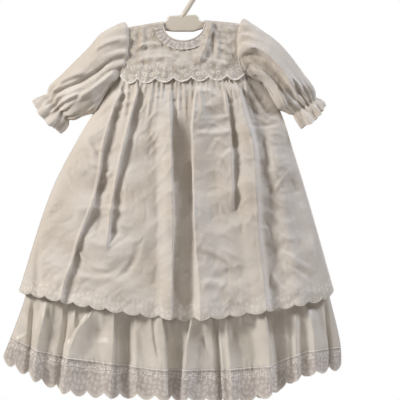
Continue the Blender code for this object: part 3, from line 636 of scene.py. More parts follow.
overFrontFolds = [
    fold([(-0.1085, -0.181), (-0.126, -0.218), (-0.1456, -0.289), (-0.152, -0.338), (-0.166, -0.394),
        (-0.188, -0.45), (-0.201, -0.496), (-0.21, -0.519), (-0.219, -0.56)], 0.007, 0.05, 0.008, (0.02, 0),
        lean=0.004, under=0.002, crisp=0.003),
    fold([(-0.082, -0.178), (-0.0966, -0.231), (-0.1078, -0.28), (-0.1145, -0.307), (-0.126, -0.365),
        (-0.1323, -0.405), (-0.1348, -0.438), (-0.1365, -0.478)], 0.0055, 0.016, 0.008, (0.02, 0.05),
        lean=0.004, under=0.004, crisp=0.003),
    fold([(-0.028, -0.181), (-0.025, -0.3), (-0.023, -0.408), (-0.0225, -0.452), (-0.026, -0.59)], 0.0155,
        0.026, 0.006, (0.1, 0), lean=0.0035, under=0.005, crisp=0.0015),
    fold([(0.026, -0.181), (0.021, -0.223), (0.018, -0.266), (0.019, -0.35), (0.0235, -0.452),
        (0.03, -0.525), (0.031, -0.59)], 0.009, 0.006, 0.04, (0.012, 0), lean=-0.003, crisp=0.0015),
    fold([(0.012, -0.22), (0.01, -0.4), (0.014, -0.59)], -0.012, 0.034, 0.012, (0.12, 0)),
    fold([(0.0644, -0.186), (0.0718, -0.223), (0.077, -0.2615), (0.0788, -0.309), (0.0805, -0.369),
        (0.081, -0.42)], 0.0045, 0.03, 0.008, (0.015, 0.05), lean=0.003, under=0.004, crisp=0.0015),
    fold([(0.08, -0.172), (0.089, -0.19), (0.0998, -0.237), (0.1085, -0.2615), (0.116, -0.298),
        (0.118, -0.342), (0.1208, -0.3875), (0.1216, -0.417), (0.124, -0.452), (0.1295, -0.498),
        (0.1348, -0.544), (0.138, -0.59)], 0.01, 0.03, 0.016, (0.02, 0), lean=0.005, under=0.0045,
        crisp=0.002),
    fold([(0.0998, -0.168), (0.118, -0.1997), (0.1323, -0.223), (0.1447, -0.242)], 0.0055, 0.01, 0.012,
        (0.012, 0.02), lean=0.002, under=0.002),
    fold([(0.15, -0.25), (0.158, -0.3), (0.176, -0.4), (0.19, -0.48), (0.206, -0.59)], 0.0045, 0.024, 0.02,
        (0.06, 0)),
    fold([(0.139, -0.256), (0.144, -0.3), (0.156, -0.335)], -0.0028, 0.01, 0.01, (0.03, 0.03)),
    fold([(-0.262, -0.43), (-0.257, -0.48), (-0.254, -0.59)], -0.004, 0.012, 0.01, (0.05, 0)),
    crossFold([(-0.192, -0.455), (-0.1785, -0.4785), (-0.161, -0.496), (-0.1365, -0.503), (-0.122, -0.503)],
        0.0045, 0.013, 0.007, (0.012, 0.02), lean=0.001),
    crossFold([(-0.188, -0.504), (-0.179, -0.5135), (-0.152, -0.5152), (-0.1145, -0.5125)], 0.004, 0.006,
        0.016, (0.008, 0.02)),
    fold([(-0.118, -0.52), (-0.1, -0.508), (-0.084, -0.48), (-0.078, -0.445)], -0.003, 0.011, 0.011,
        (0.03, 0.012)),
    fold([(-0.182, -0.255), (-0.175, -0.2615), (-0.154, -0.32)], 0.0032, 0.01, 0.007, (0.02, 0.02)),
    fold([(-0.215, -0.325), (-0.2065, -0.335), (-0.175, -0.392)], 0.0024, 0.01, 0.008, (0.02, 0.015)),
    crossFold([(0.0315, -0.528), (0.054, -0.522), (0.07, -0.5327), (0.096, -0.5625)], 0.0045, 0.007, 0.02,
        (0.008, 0.02)),
    crossFold([(0.158, -0.474), (0.177, -0.476), (0.2135, -0.498), (0.236, -0.509)], 0.0045, 0.007, 0.02,
        (0.014, 0.02)),
    crossFold([(0.172, -0.494), (0.177, -0.496), (0.21, -0.517), (0.222, -0.53)], 0.003, 0.006, 0.012,
        (0.008, 0.012)),
    crossFold([(0.148, -0.51), (0.163, -0.524), (0.18, -0.545)], 0.003, 0.006, 0.01, (0.008, 0.012)),
    crossFold([(0.03, -0.463), (0.055, -0.475), (0.0814, -0.494), (0.088, -0.52)], 0.0026, 0.009, 0.01,
        (0.012, 0.01)),
    crossFold([(0.082, -0.498), (0.1, -0.494), (0.124, -0.494)], 0.0018, 0.004, 0.008, (0.01, 0.012)),
    crossFold([(0.15, -0.372), (0.17, -0.35), (0.192, -0.326)], 0.0024, 0.01, 0.012, (0.012, 0.015)),
    crossFold([(0.1, -0.247), (0.13, -0.2525), (0.168, -0.25)], -0.0018, 0.006, 0.005, (0.012, 0.015)),
    crossFold([(0.024, -0.2395), (0.05, -0.2385), (0.078, -0.237)], 0.0024, 0.005, 0.008, (0.008, 0.008)),
    crossFold([(0.022, -0.264), (0.05, -0.2655), (0.08, -0.262)], 0.0026, 0.005, 0.01, (0.008, 0.008)),
    crossFold([(-0.128, -0.22), (-0.11, -0.213), (-0.08, -0.208)], 0.003, 0.005, 0.01, (0.01, 0.01)),
    crossFold([(-0.118, -0.196), (-0.1, -0.193), (-0.09, -0.19)], 0.003, 0.005, 0.009, (0.008, 0.008)),
    crossFold([(-0.2, -0.396), (-0.16, -0.3945), (-0.11, -0.3935)], 0.002, 0.003, 0.016, (0.02, 0.008)),
    crossFold([(-0.146, -0.336), (-0.13, -0.3352), (-0.112, -0.335)], 0.002, 0.003, 0.016, (0.008, 0.008)),
]
overFrontFolds += smallGathers(30, -0.112, 0.104, gown["yokeSeamZ"], overGathers, 5)
overBackFolds = [
    fold([(-0.1, -0.185), (-0.128, -0.27), (-0.165, -0.4), (-0.205, -0.6)], 0.011, 0.04, 0.009, (0.03, 0),
        lean=0.004, under=0.003, crisp=0.0025),
    fold([(-0.058, -0.18), (-0.07, -0.3), (-0.088, -0.45), (-0.1, -0.6)], 0.009, 0.01, 0.034, (0.02, 0),
        lean=-0.003, under=0.003, crisp=0.002),
    fold([(-0.01, -0.18), (-0.012, -0.3), (-0.018, -0.46), (-0.02, -0.6)], 0.012, 0.03, 0.009, (0.03, 0),
        lean=0.004, under=0.004, crisp=0.002),
    fold([(0.04, -0.178), (0.044, -0.3), (0.056, -0.45), (0.064, -0.6)], 0.009, 0.009, 0.03, (0.02, 0),
        lean=-0.003, under=0.003, crisp=0.002),
    fold([(0.088, -0.176), (0.108, -0.27), (0.136, -0.42), (0.158, -0.6)], 0.011, 0.028, 0.01, (0.03, 0),
        lean=0.004, under=0.004, crisp=0.0025),
    fold([(0.15, -0.25), (0.178, -0.4), (0.212, -0.6)], 0.004, 0.022, 0.02, (0.06, 0)),
    fold([(-0.24, -0.42), (-0.238, -0.6)], -0.0035, 0.012, 0.012, (0.05, 0)),
    crossFold([(-0.15, -0.47), (-0.12, -0.488), (-0.08, -0.49)], 0.0035, 0.01, 0.008, (0.015, 0.02)),
    crossFold([(0.07, -0.52), (0.1, -0.508), (0.14, -0.52)], 0.0032, 0.007, 0.015, (0.015, 0.02)),
    crossFold([(-0.08, -0.295), (0.0, -0.2955), (0.09, -0.295)], 0.0022, 0.003, 0.014, (0.02, 0.02)),
    crossFold([(-0.15, -0.394), (0.0, -0.3945), (0.14, -0.394)], 0.0022, 0.003, 0.014, (0.02, 0.02)),
]
overBackFolds += smallGathers(28, -0.112, 0.104, gown["yokeSeamZ"], overGathers, 9)


def skirtTop(seamZ, cornerShare, inset=0.0):  # along the yoke seam, with a corner up each armhole
    start = gown["skirtStart"]

    def top(u):
        left, right = armhole(-1, start), armhole(1, start)
        x = mix(left[0] + inset, right[0] - inset, np.clip((u - cornerShare) / (1 - 2 * cornerShare), 0, 1))
        leftX, leftZ = armhole(-1, mix(1, start, np.clip(u / cornerShare, 0, 1)))
        rightX, rightZ = armhole(1, mix(start, 1, np.clip((u - 1 + cornerShare) / cornerShare, 0, 1)))
        atLeft, atRight = u < cornerShare, u > 1 - cornerShare
        seam = seamZ + gown["tilt"] * x
        z = np.where(atLeft, leftZ - inset * 0.8, np.where(atRight, rightZ - inset * 0.8, seam))
        return np.where(atLeft, leftX + inset, np.where(atRight, rightX - inset, x)), z
    return top


def overHem(spec, extra=0.0):
    (hemZ, leftX), rightX = gown["overLeft"][-1], gown["overRight"][-1][1]

    def hem(u):
        x = (leftX + rightX) / 2 + (rightX - leftX) / 2 * hemShare(u)
        dip = overHemLine["dip"] * (1 - (np.abs(x - overHemLine["middle"]) / overHemLine["half"]) ** 1.4)
        z = hemZ - (dip + extra) * inward(u, overHemLine["roundEnd"])
        return x, z - scallop(u, spec["scallops"], spec["drop"])
    return hem


def makeOverskirt(side, name, node, spec, folds):
    hem = overHem(spec, gown["backDrop"] if side > 0 else 0.0)
    hemLeft, hemRight = hem(bothEnds)[1]
    left = sideEdge(gown["overLeft"], armhole(-1, 1)[1], hemLeft)
    right = sideEdge(gown["overRight"], armhole(1, 1)[1], hemRight)
    hang = overHang

    def shape(u, v):
        x, z = fillEdges(skirtTop(gown["yokeSeamZ"], spec["cornerShare"]), hem, left, right, u, v ** 1.25)
        fade = sideFade(x, z, skirtSides)
        push, slideX, slideZ = layFolds(folds, x, z)
        for size, high, seed in overRumples:
            push = push + rumple(x, z, size, high, seed + side)
        push = push + creases(x, z, *overCreases[:2], overCreases[2] + side)
        opened = smoothStep((gown["yokeEdgeZ"] - 0.004 - z) / hang["opensIn"])
        opened = hang["pressed"] + (1 - hang["pressed"]) * opened
        lift = hang["lift"] * smoothStep((hang["liftZ"] - z) / hang["liftsIn"])
        depth = halfDepth(x, z) - 0.0005 * fade + fade * lift + fade * opened * push
        proud = np.maximum(0, depth - hang["proud"])
        depth = depth - proud + hang["proudMost"] * np.tanh(proud / hang["proudMost"])
        return x + slideX * fade, side * np.maximum(gown["seam"], depth), z + slideZ * fade

    piece, net = clothPiece(name, spec, shape, hemBatiste, turned=side > 0)
    standFor(piece, node)
    cord = edgeCord(name + "HemCord", edgeOf(net, -1, (0, side * 0.0003, 0)), 0.0008, cordThread)


makeOverskirt(-1, "overskirtFront", "overskirt_front", overFront, overFrontFolds)
makeOverskirt(1, "overskirtBack", "overskirt_back", overBack, overBackFolds)
print("overskirt made")

# the plain underskirt that the flounce is sewn to
underSpec = {"columns": 84, "rows": 30, "cornerShare": 2 / 14, "flat": (0.46, 0.31), "area": 0.125,
             "belowSeam": 0.002, "sinksIn": 0.2, "sideFade": 0.05, "rumple": (0.04, 0.0006, 12)}


def makeUnderskirt(side, name, node):
    spec = underSpec
    inset = gown["underInset"]

    def hem(u):
        x = mix(gown["flounceLeft"][0][1], gown["flounceRight"][0][1], u)
        return x, np.full_like(u, gown["flounceTopZ"] + 2 * gown["seam"])

    def edge(points, hand):
        hemX, hemZ = (part[0 if hand < 0 else 1] for part in hem(bothEnds))
        lastInset = hand * (through(points, hemZ) - hemX)

        def place(v):
            z = mix(armhole(hand, 1)[1] - inset * 0.8, hemZ, v)
            return through(points, z) - hand * mix(inset, lastInset, v), z
        return place

    def shape(u, v):
        top = skirtTop(gown["yokeSeamZ"] - spec["belowSeam"], spec["cornerShare"], inset)
        x, z = fillEdges(top, hem, edge(gown["overLeft"], -1), edge(gown["overRight"], 1), u, v ** 1.3)
        sink = mix(gown["underSink"], gown["flounceSink"], smoothStep((gown["yokeSeamZ"] - z) / spec["sinksIn"]))
        uneven = sideFade(x, z, skirtSides, spec["sideFade"]) * rumple(x, z, *spec["rumple"])
        return x, side * np.maximum(gown["seam"], halfDepth(x, z, inset, sink) + uneven), z

    piece = clothPiece(name, spec, shape, plainCotton, turned=side > 0)[0]
    standFor(piece, node)


makeUnderskirt(-1, "underskirtFront", "underskirt_front")
makeUnderskirt(1, "underskirtBack", "underskirt_back")
print("underskirt made")

# the satin flounce and the lace sewn along it share their folds
flounceFront = {"columns": 300, "rows": 74, "flat": (0.72, 0.21), "area": 0.125}
flounceBack = {"columns": 240, "rows": 60, "flat": (0.72, 0.21), "area": 0.125}
laceFront = {"columns": 330, "rows": 30, "scallops": 22, "drop": 0.012, "flat": (0.75, 0.055)}
laceBack = {"columns": 308, "rows": 24, "scallops": 22, "drop": 0.012, "flat": (0.75, 0.055)}
flounceGathers = {"length": (0.030, 0.080), "high": (0.0010, 0.0022), "wide": (0.0040, 0.0070), "fan": 0.5}
flounceHang = {"opensZ": -0.540, "opensIn": 0.055,  # the folds open below the overskirt's hem
               "endShare": 0.2, "sideFade": 0.018, "crispFrom": 0.006, "crisp": 0.0016, "backScallopShift": 0.12}
flounceFrontFolds = [
    hemFold([(-0.262, -0.5), (-0.264, -0.56), (-0.27, -0.64), (-0.276, -0.72)], -0.004, 0.008, 0.007),
    hemFold([(-0.236, -0.48), (-0.2415, -0.557), (-0.248, -0.596), (-0.255, -0.631), (-0.257, -0.648),
        (-0.262, -0.72)], 0.007, 0.009, 0.02),
    hemFold([(-0.2, -0.48), (-0.203, -0.557), (-0.206, -0.61), (-0.2135, -0.653), (-0.22, -0.72)], -0.004,
        0.01, 0.006),
    hemFold([(-0.19, -0.54), (-0.193, -0.62)], 0.0025, 0.008, 0.009, (0.02, 0.03)),
    hemFold([(-0.148, -0.48), (-0.159, -0.573), (-0.184, -0.608), (-0.198, -0.641), (-0.201, -0.657),
        (-0.21, -0.72)], 0.0065, 0.006, 0.045, lean=-0.001),
    hemFold([(-0.122, -0.48), (-0.123, -0.577), (-0.125, -0.636), (-0.127, -0.671), (-0.13, -0.73)], 0.004,
        0.026, 0.006, lean=0.002),
    hemFold([(-0.102, -0.48), (-0.102, -0.577), (-0.102, -0.636), (-0.102, -0.671), (-0.102, -0.73)],
        -0.0085, 0.016, 0.02),
    hemFold([(-0.042, -0.48), (-0.04, -0.577), (-0.035, -0.636), (-0.032, -0.706), (-0.031, -0.735)], 0.007,
        0.04, 0.006, lean=0.002),
    hemFold([(-0.056, -0.56), (-0.052, -0.62), (-0.043, -0.668)], -0.0022, 0.004, 0.005, (0.02, 0.03)),
    hemFold([(-0.01, -0.48), (-0.011, -0.577), (-0.012, -0.735)], -0.006, 0.018, 0.02),
    hemFold([(0.016, -0.565), (0.014, -0.59), (0.005, -0.64), (-0.002, -0.718), (-0.002, -0.735)], 0.007,
        0.007, 0.024, (0.06, 0), lean=-0.001),
    hemFold([(0.03, -0.61), (0.04, -0.65)], -0.002, 0.005, 0.006, (0.015, 0.02)),
    hemFold([(0.056, -0.48), (0.056, -0.585), (0.061, -0.67), (0.064, -0.735)], -0.006, 0.009, 0.006),
    hemFold([(0.072, -0.48), (0.073, -0.592), (0.082, -0.671), (0.086, -0.735)], 0.004, 0.009, 0.02),
    hemFold([(0.096, -0.57), (0.1, -0.6)], 0.0022, 0.004, 0.006, (0.01, 0.015)),
    hemFold([(0.136, -0.48), (0.138, -0.57), (0.141, -0.599), (0.147, -0.636), (0.1477, -0.669),
        (0.1496, -0.725)], 0.008, 0.028, 0.007, lean=0.002),
    hemFold([(0.16, -0.48), (0.161, -0.557), (0.165, -0.645), (0.168, -0.7)], -0.007, 0.012, 0.018),
    hemFold([(0.192, -0.48), (0.194, -0.557), (0.196, -0.636), (0.198, -0.7)], 0.0035, 0.008, 0.01),
    hemFold([(0.21, -0.48), (0.2135, -0.557), (0.226, -0.61), (0.2275, -0.641), (0.23, -0.7)], 0.006, 0.012,
        0.02),
    hemFold([(0.244, -0.5), (0.247, -0.566), (0.255, -0.636), (0.256, -0.7)], -0.0035, 0.006, 0.007),
]
flounceBackFolds = [
    hemFold([(-0.23, -0.48), (-0.245, -0.62), (-0.255, -0.735)], 0.006, 0.01, 0.018),
    hemFold([(-0.19, -0.48), (-0.2, -0.62), (-0.208, -0.735)], -0.004, 0.01, 0.008),
    hemFold([(-0.15, -0.48), (-0.165, -0.62), (-0.172, -0.735)], 0.006, 0.012, 0.028),
    hemFold([(-0.1, -0.48), (-0.108, -0.62), (-0.112, -0.735)], -0.0045, 0.012, 0.012),
    hemFold([(-0.06, -0.48), (-0.062, -0.62), (-0.06, -0.735)], 0.0065, 0.02, 0.009),
    hemFold([(-0.01, -0.48), (-0.012, -0.735)], -0.0045, 0.014, 0.014),
    hemFold([(0.035, -0.48), (0.038, -0.62), (0.04, -0.735)], 0.006, 0.01, 0.026),
    hemFold([(0.085, -0.48), (0.092, -0.62), (0.096, -0.735)], -0.004, 0.01, 0.012),
    hemFold([(0.13, -0.48), (0.14, -0.62), (0.145, -0.735)], 0.007, 0.024, 0.01),
    hemFold([(0.185, -0.48), (0.2, -0.62), (0.206, -0.735)], 0.0055, 0.012, 0.018),
]
for folds, deeper, count, seed in ((flounceFrontFolds, 2.1, 34, 21), (flounceBackFolds, 1.6, 30, 25)):
    for each in folds:
        each["high"] *= deeper
        each["crisp"] = flounceHang["crisp"] if each["high"] > flounceHang["crispFrom"] else 0
    folds += smallGathers(count, -0.250, 0.228, -0.560, flounceGathers, seed)


def spread(line):  # even points across a hem line, a little closer towards its ends
    left, right = line[0][0], line[-1][0]

    def at(u):
        x = (left + right) / 2 + (right - left) / 2 * hemShare(u)
        return x, through(line, x)
    return at


def flounceShape(side, folds, edges):  # the form that flounce and lace share, between four edges
    extra, seed = gown["backDrop"] if side > 0 else 0.0, 31 + side

    def shape(u, v):
        x, z = fillEdges(*edges, u, v)
        fade = sideFade(x, z, flounceSides, flounceHang["sideFade"])
        push, slideX = layFolds(folds, x, z)[:2]
        push = push + rumple(x, z, 0.045, 0.0009, seed) + creases(x, z, 0.026, 0.0010, seed)
        opened = smoothStep((flounceHang["opensZ"] - z) / flounceHang["opensIn"])
        depth = halfDepth(x, z, 0.0, gown["flounceSink"], flounceSides) + fade * opened * push
        # small puckers where the lace is sewn on
        near = np.exp(-((z - (through(gown["laceSeam"], x) - extra)) / 0.007) ** 2)
        pucker = near * 0.0006 * (np.sin(2 * pi * x / 0.0095) + 0.6 * np.sin(2 * pi * x / 0.0061 + 1))
        y = side * np.maximum(gown["seam"], depth) + side * sideFade(x, z, flounceSides) * pucker
        return x + slideX * fade * opened, y, z
    return shape


def flounceEdges(top, bottom):
    (topLeft, topRight), (bottomLeft, bottomRight) = top(bothEnds)[1], bottom(bothEnds)[1]
    return (top, bottom, sideEdge(gown["flounceLeft"], topLeft, bottomLeft),
            sideEdge(gown["flounceRight"], topRight, bottomRight))


def makeFlounce(side, name, node, spec, folds):
    extra = gown["backDrop"] if side > 0 else 0.0
    seam = spread(gown["laceSeam"])

    def top(u):
        x = mix(gown["flounceLeft"][0][1], gown["flounceRight"][0][1], (hemShare(u) + 1) / 2)
        return x, np.full_like(u, gown["flounceTopZ"])

    def bottom(u):
        x, z = seam(u)
        return x, z - extra * inward(u, flounceHang["endShare"])

    shape = flounceShape(side, folds, flounceEdges(top, bottom))
    piece, net = clothPiece(name, spec, shape, satin, turned=side > 0)
    standFor(piece, node)
    braid = edgeCord(name + "LaceSeam", edgeOf(net, -1, (0, side * 0.0007, -0.0004)), 0.0010, seamThread)


def makeLaceBorder(side, name, node, spec, folds):
    extra = gown["backDrop"] if side > 0 else 0.0
    seam, cusps = spread(gown["laceSeam"]), spread(gown["laceHem"])

    def top(u):
        x, z = seam(u)
        return x, z - extra * inward(u, flounceHang["endShare"]) - 2 * gown["seam"]

    def bottom(u):
        x, z = cusps(u)
        inner = inward(u, flounceHang["endShare"])
        phase = u + (flounceHang["backScallopShift"] / spec["scallops"] * inner if side > 0 else 0.0)
        return x, z - extra * inner - scallop(phase, spec["scallops"], spec["drop"])

    shape = flounceShape(side, folds, flounceEdges(top, bottom))
    piece, net = clothPiece(name, spec, shape, lace, turned=side > 0, wall=0.0005)
    standFor(piece, node)
    cord = edgeCord(name + "Edge", edgeOf(net, -1), 0.0006, cordThread)


makeFlounce(-1, "flounceFront", "flounce_front", flounceFront, flounceFrontFolds)
makeLaceBorder(-1, "laceFront", "lace_front", laceFront, flounceFrontFolds)
makeFlounce(1, "flounceBack", "flounce_back", flounceBack, flounceBackFolds)
makeLaceBorder(1, "laceBack", "lace_back", laceBack, flounceBackFolds)
print("flounce and lace made")

# yokes: the shoulder's roll over the hanger's arm, a scooped neck and a corded scalloped edge
yokeFront = {"columns": 280, "rows": 112, "rollRows": 16, "shoulder": 9 / 28, "scallops": 7, "drop": 0.009,
             "push": 2.2, "calm": 0.012, "left": -0.098, "right": 0.094, "flat": (0.22, 0.115), "area": 0.0185}
yokeBack = {"columns": 90, "rows": 72, "rollRows": 12, "calm": 0.012, "calmSide": 0.094, "calmMiddle": 0.012,
            "middleWide": 0.02, "lapFrom": 0.024, "lapWide": 0.010, "flat": (0.115, 0.10), "area": 0.0095}
hair = 1e-6  # keeps the vertices on a cut's edge
yokeFolds = [
    fold([(0.0485, -0.067), (0.0445, -0.088), (0.037, -0.115), (0.026, -0.15)], 0.0034, 0.018, 0.006,
        (0, 0.03), lean=0.0015, crisp=0.0006),
    fold([(-0.075, -0.074), (-0.072, -0.1), (-0.078, -0.135)], 0.0014, 0.01, 0.008, (0.01, 0.03)),
    crossFold([(-0.09, -0.118), (-0.06, -0.108), (-0.035, -0.112)], 0.0014, 0.005, 0.01, (0.01, 0.01)),
    crossFold([(-0.092, -0.14), (-0.05, -0.132), (-0.01, -0.134)], 0.0012, 0.006, 0.01, (0.01, 0.02)),
    crossFold([(0.05, -0.112), (0.075, -0.12), (0.09, -0.135)], 0.0016, 0.008, 0.008, (0.01, 0.01)),
    fold([(0.05, -0.08), (0.058, -0.11), (0.06, -0.14)], 0.0014, 0.008, 0.008, (0.01, 0.03)),
    crossFold([(0.01, -0.128), (0.05, -0.14), (0.088, -0.146)], 0.0012, 0.006, 0.01, (0.02, 0.01)),
]


def neckline(t):
    x = -gown["neckHalf"] * np.cos(pi * t)
    return x, shoulderLine(x) - gown["rollEnd"] - (gown["neckDepth"] - gown["rollEnd"]) * np.sin(pi * t)


def rollShare(side):  # how much of the armhole the shoulder's roll takes
    tip = armhole(side, 0.0)
    return float(0.2 * gown["rollEnd"] / (tip[1] - armhole(side, 0.2)[1]))


def shoulderPoint(side, share):
    x = mix(float(armhole(side, rollShare(side))[0]), side * gown["neckHalf"], share)
    return x, shoulderLine(x) - gown["rollEnd"]


def armholeEdge(side):
    start = rollShare(side)
    return lambda v: armhole(side, mix(start, gown["armEnd"], v))


def yokeNet(rollLine, bottom, left, right, u, v, spec):
    rollPart = spec["rollRows"] / spec["rows"]
    x, z = fillEdges(rollLine, bottom, left, right, u, np.clip((v - rollPart) / (1 - rollPart), 0, 1) ** 1.1)
    onRoll = (v < rollPart)[:, None]
    lineX = np.broadcast_to(rollLine(u)[0][None, :], x.shape)
    share = (v / rollPart)[:, None] ** 2  # closer rows where the cloth turns over the arm
    return np.where(onRoll, lineX, x), np.where(onRoll, shoulderLine(lineX) - gown["rollEnd"] * share, z)


def makeFrontYoke():
    spec = yokeFront
    third = spec["shoulder"]

    def rollLine(u):
        left = shoulderPoint(-1, np.clip(u / third, 0, 1))
        right = shoulderPoint(1, np.clip((1 - u) / third, 0, 1))
        neck = neckline(np.clip((u - third) / (1 - 2 * third), 0, 1))
        return tuple(np.where(u < third, left[i], np.where(u > 1 - third, right[i], neck[i])) for i in (0, 1))

    def bottom(u):
        left, right = armhole(-1, gown["armEnd"]), armhole(1, gown["armEnd"])
        x, line = mix(left[0], right[0], u), mix(left[1], right[1], u)
        sag = (gown["yokeEdgeZ"] + gown["tilt"] * x - line) * inward(u, 0.08)
        return x, line + sag - scallop(u, spec["scallops"], spec["drop"])

    def shape(u, v):
        x, z = yokeNet(rollLine, bottom, armholeEdge(-1), armholeEdge(1), u, v, spec)
        push = layFolds(yokeFolds, x, z)[0]
        push = spec["push"] * push + rumple(x, z, 0.020, 0.0006, 41) + creases(x, z, 0.015, 0.0007, 43)
        calm = smoothStep((shoulderLine(x) - z) / spec["calm"]) \
            * smoothStep(np.minimum(x - spec["left"], spec["right"] - x) / spec["calm"])
        return x, -(yokeDepth(x, z) + calm * push), z

    def cut(u, down):  # nothing above the neckline
        return (u > third + hair) & (u < 1 - third - hair) & (down < spec["rollRows"])

    piece, net = clothPiece("frontYoke", spec, shape, eyelet, cut=cut)
    standFor(piece, "front_yoke")
    cord = edgeCord("frontYokeScallopCord", edgeOf(net, -1, (0, -0.0006, 0)), 0.0013, seamThread)
    rows = slice(spec["rollRows"] // 2, -6)
    seams = [edgeCord("frontYokeArmholeSeam" + hand, edgeOf(net, (rows, column), (0, -0.0002, 0)),
                      0.0010, cordThread) for hand, column in (("Left", 0), ("Right", -1))]


def makeBackYoke(side, name, node):
    spec = yokeBack
    neckStart = 0.5 + side * 0.5
    neckEnd = np.arccos(side * gown["backLap"] / gown["neckHalf"]) / pi

    def rollLine(u):
        shoulder = shoulderPoint(side, np.clip(u / 0.5, 0, 1))
        neck = neckline(mix(neckStart, neckEnd, np.clip((u - 0.5) / 0.5, 0, 1)))
        return tuple(np.where(u < 0.5, shoulder[i], neck[i]) for i in (0, 1))

    def bottom(u):
        outer = armhole(side, gown["armEnd"])
        x = mix(outer[0], -side * gown["backLap"], u)
        return x, mix(outer[1], gown["yokeEdgeZ"] + gown["tilt"] * x, smoothStep(u / 0.2))

    def inner(v):
        return tuple(mix(rollLine(bothEnds)[i][1], bottom(bothEnds)[i][1], v) for i in (0, 1))

    def shape(u, v):
        x, z = yokeNet(rollLine, bottom, armholeEdge(side), inner, u, v, spec)
        lap = gown["lapLift"] * smoothStep((x + spec["lapFrom"]) / spec["lapWide"]) if side < 0 else 0.0
        calm = smoothStep((shoulderLine(x) - z) / spec["calm"]) \
            * smoothStep((spec["calmSide"] - np.abs(x)) / spec["calm"]) \
            * smoothStep((np.abs(x) - spec["calmMiddle"]) / spec["middleWide"])
        uneven = rumple(x, z, 0.026, 0.0006, 51 + side) + creases(x, z, 0.022, 0.0006, 53 + side)
        return x, yokeDepth(x, z) + lap + calm * uneven, z

    def cut(u, down):
        return (u > 0.5 + hair) & (down < spec["rollRows"])

    piece = clothPiece(name, spec, shape, plainCotton, turned=side < 0, cut=cut)[0]
    standFor(piece, node)


makeFrontYoke()
makeBackYoke(-1, "backYokeLeft", "back_yoke_left")
makeBackYoke(1, "backYokeRight", "back_yoke_right")
print("yokes made")

# the lace round the front of the neck
neckTrim = {"columns": 200, "rows": 22, "start": 0.020, "wide": 0.0150, "lift": 0.0022, "gap": 0.0006,
            "scallops": 14, "drop": 0.0009, "waves": 19, "ruffle": 0.0007, "flat": (0.12, 0.0155)}


def makeNeckTrim():
    spec = neckTrim

    def shape(u, v):
        t = mix(spec["start"], 1 - spec["start"], u)[None, :] + 0 * v[:, None]
        x, z = neckline(t)
        scallops = spec["drop"] * np.abs(np.sin(pi * spec["scallops"] * u))[None, :]
        reach = spec["gap"] + spec["wide"] * v[:, None] + scallops * v[:, None]
        x = x - reach * np.cos(pi * t)
        z = z - reach * np.sin(pi * t)
        push = layFolds(yokeFolds, x, z)[0]
        push = push * smoothStep((shoulderLine(x) - z) / yokeFront["calm"])
        ruffle = spec["ruffle"] * np.sin(2 * pi * spec["waves"] * t) * v[:, None]
        return x, -(yokeDepth(x, z) + spec["lift"] + push + ruffle), z

    piece, net = clothPiece("neckLace", spec, shape, narrowLace, wall=0.0005)
    standFor(piece, "neck_trim")
    binding = edgeCord("neckBinding", edgeOf(net, 0, (0, -0.0002, 0)), 0.0011, cordThread)
    edge = edgeCord("neckLaceEdge", edgeOf(net, -1), 0.0005, cordThread)


makeNeckTrim()
print("neck lace made")

# puff sleeves: gathered into the armhole, drawn in by elastic at the wrist, with a frill past it;
# a ring is its place along the sleeve, where the wrist is 1, its upper and lower ends and its half depth
sleeveRight = {"rings": [
    (0.00, (0.0980, -0.0720), (0.1380, -0.1740), 0.0170), (0.08, (0.1050, -0.0660), (0.1425, -0.1780), 0.0200),
    (0.20, (0.1190, -0.0730), (0.1462, -0.1880), 0.0230), (0.35, (0.1400, -0.0855), (0.1501, -0.1985), 0.0245),
    (0.50, (0.1640, -0.1025), (0.1552, -0.2078), 0.0250), (0.65, (0.1860, -0.1260), (0.1602, -0.2170), 0.0250),
    (0.80, (0.2070, -0.1545), (0.1662, -0.2240), 0.0225), (0.92, (0.2240, -0.1810), (0.1790, -0.2265), 0.0170),
    (1.00, (0.2325, -0.2010), (0.1910, -0.2330), 0.0120), (1.07, (0.2400, -0.2080), (0.1985, -0.2420), 0.0150),
    (1.20, (0.2455, -0.2190), (0.2070, -0.2535), 0.0180)], "folds": [
    crossFold([(0.094, -0.127), (0.114, -0.118), (0.126, -0.1165), (0.14, -0.125), (0.159, -0.1415),
        (0.18, -0.167), (0.195, -0.191), (0.202, -0.2125)], 0.0042, 0.024, 0.009, (0.014, 0.02), lean=0.0025,
        under=0.002, crisp=0.0007),
    crossFold([(0.094, -0.1355), (0.11, -0.152), (0.123, -0.17)], 0.0028, 0.007, 0.008, (0.008, 0.012)),
    crossFold([(0.186, -0.165), (0.198, -0.177), (0.2065, -0.189), (0.213, -0.206)], 0.0026, 0.007, 0.007,
        (0.008, 0.008)),
    crossFold([(0.104, -0.151), (0.124, -0.153), (0.159, -0.181), (0.184, -0.226)], 0.0032, 0.009, 0.011,
        (0.014, 0.014)),
    crossFold([(0.104, -0.092), (0.13, -0.098), (0.16, -0.118)], 0.002, 0.008, 0.009, (0.012, 0.02)),
    crossFold([(0.128, -0.16), (0.15, -0.186), (0.166, -0.212)], -0.0022, 0.007, 0.007, (0.012, 0.012)),
]}
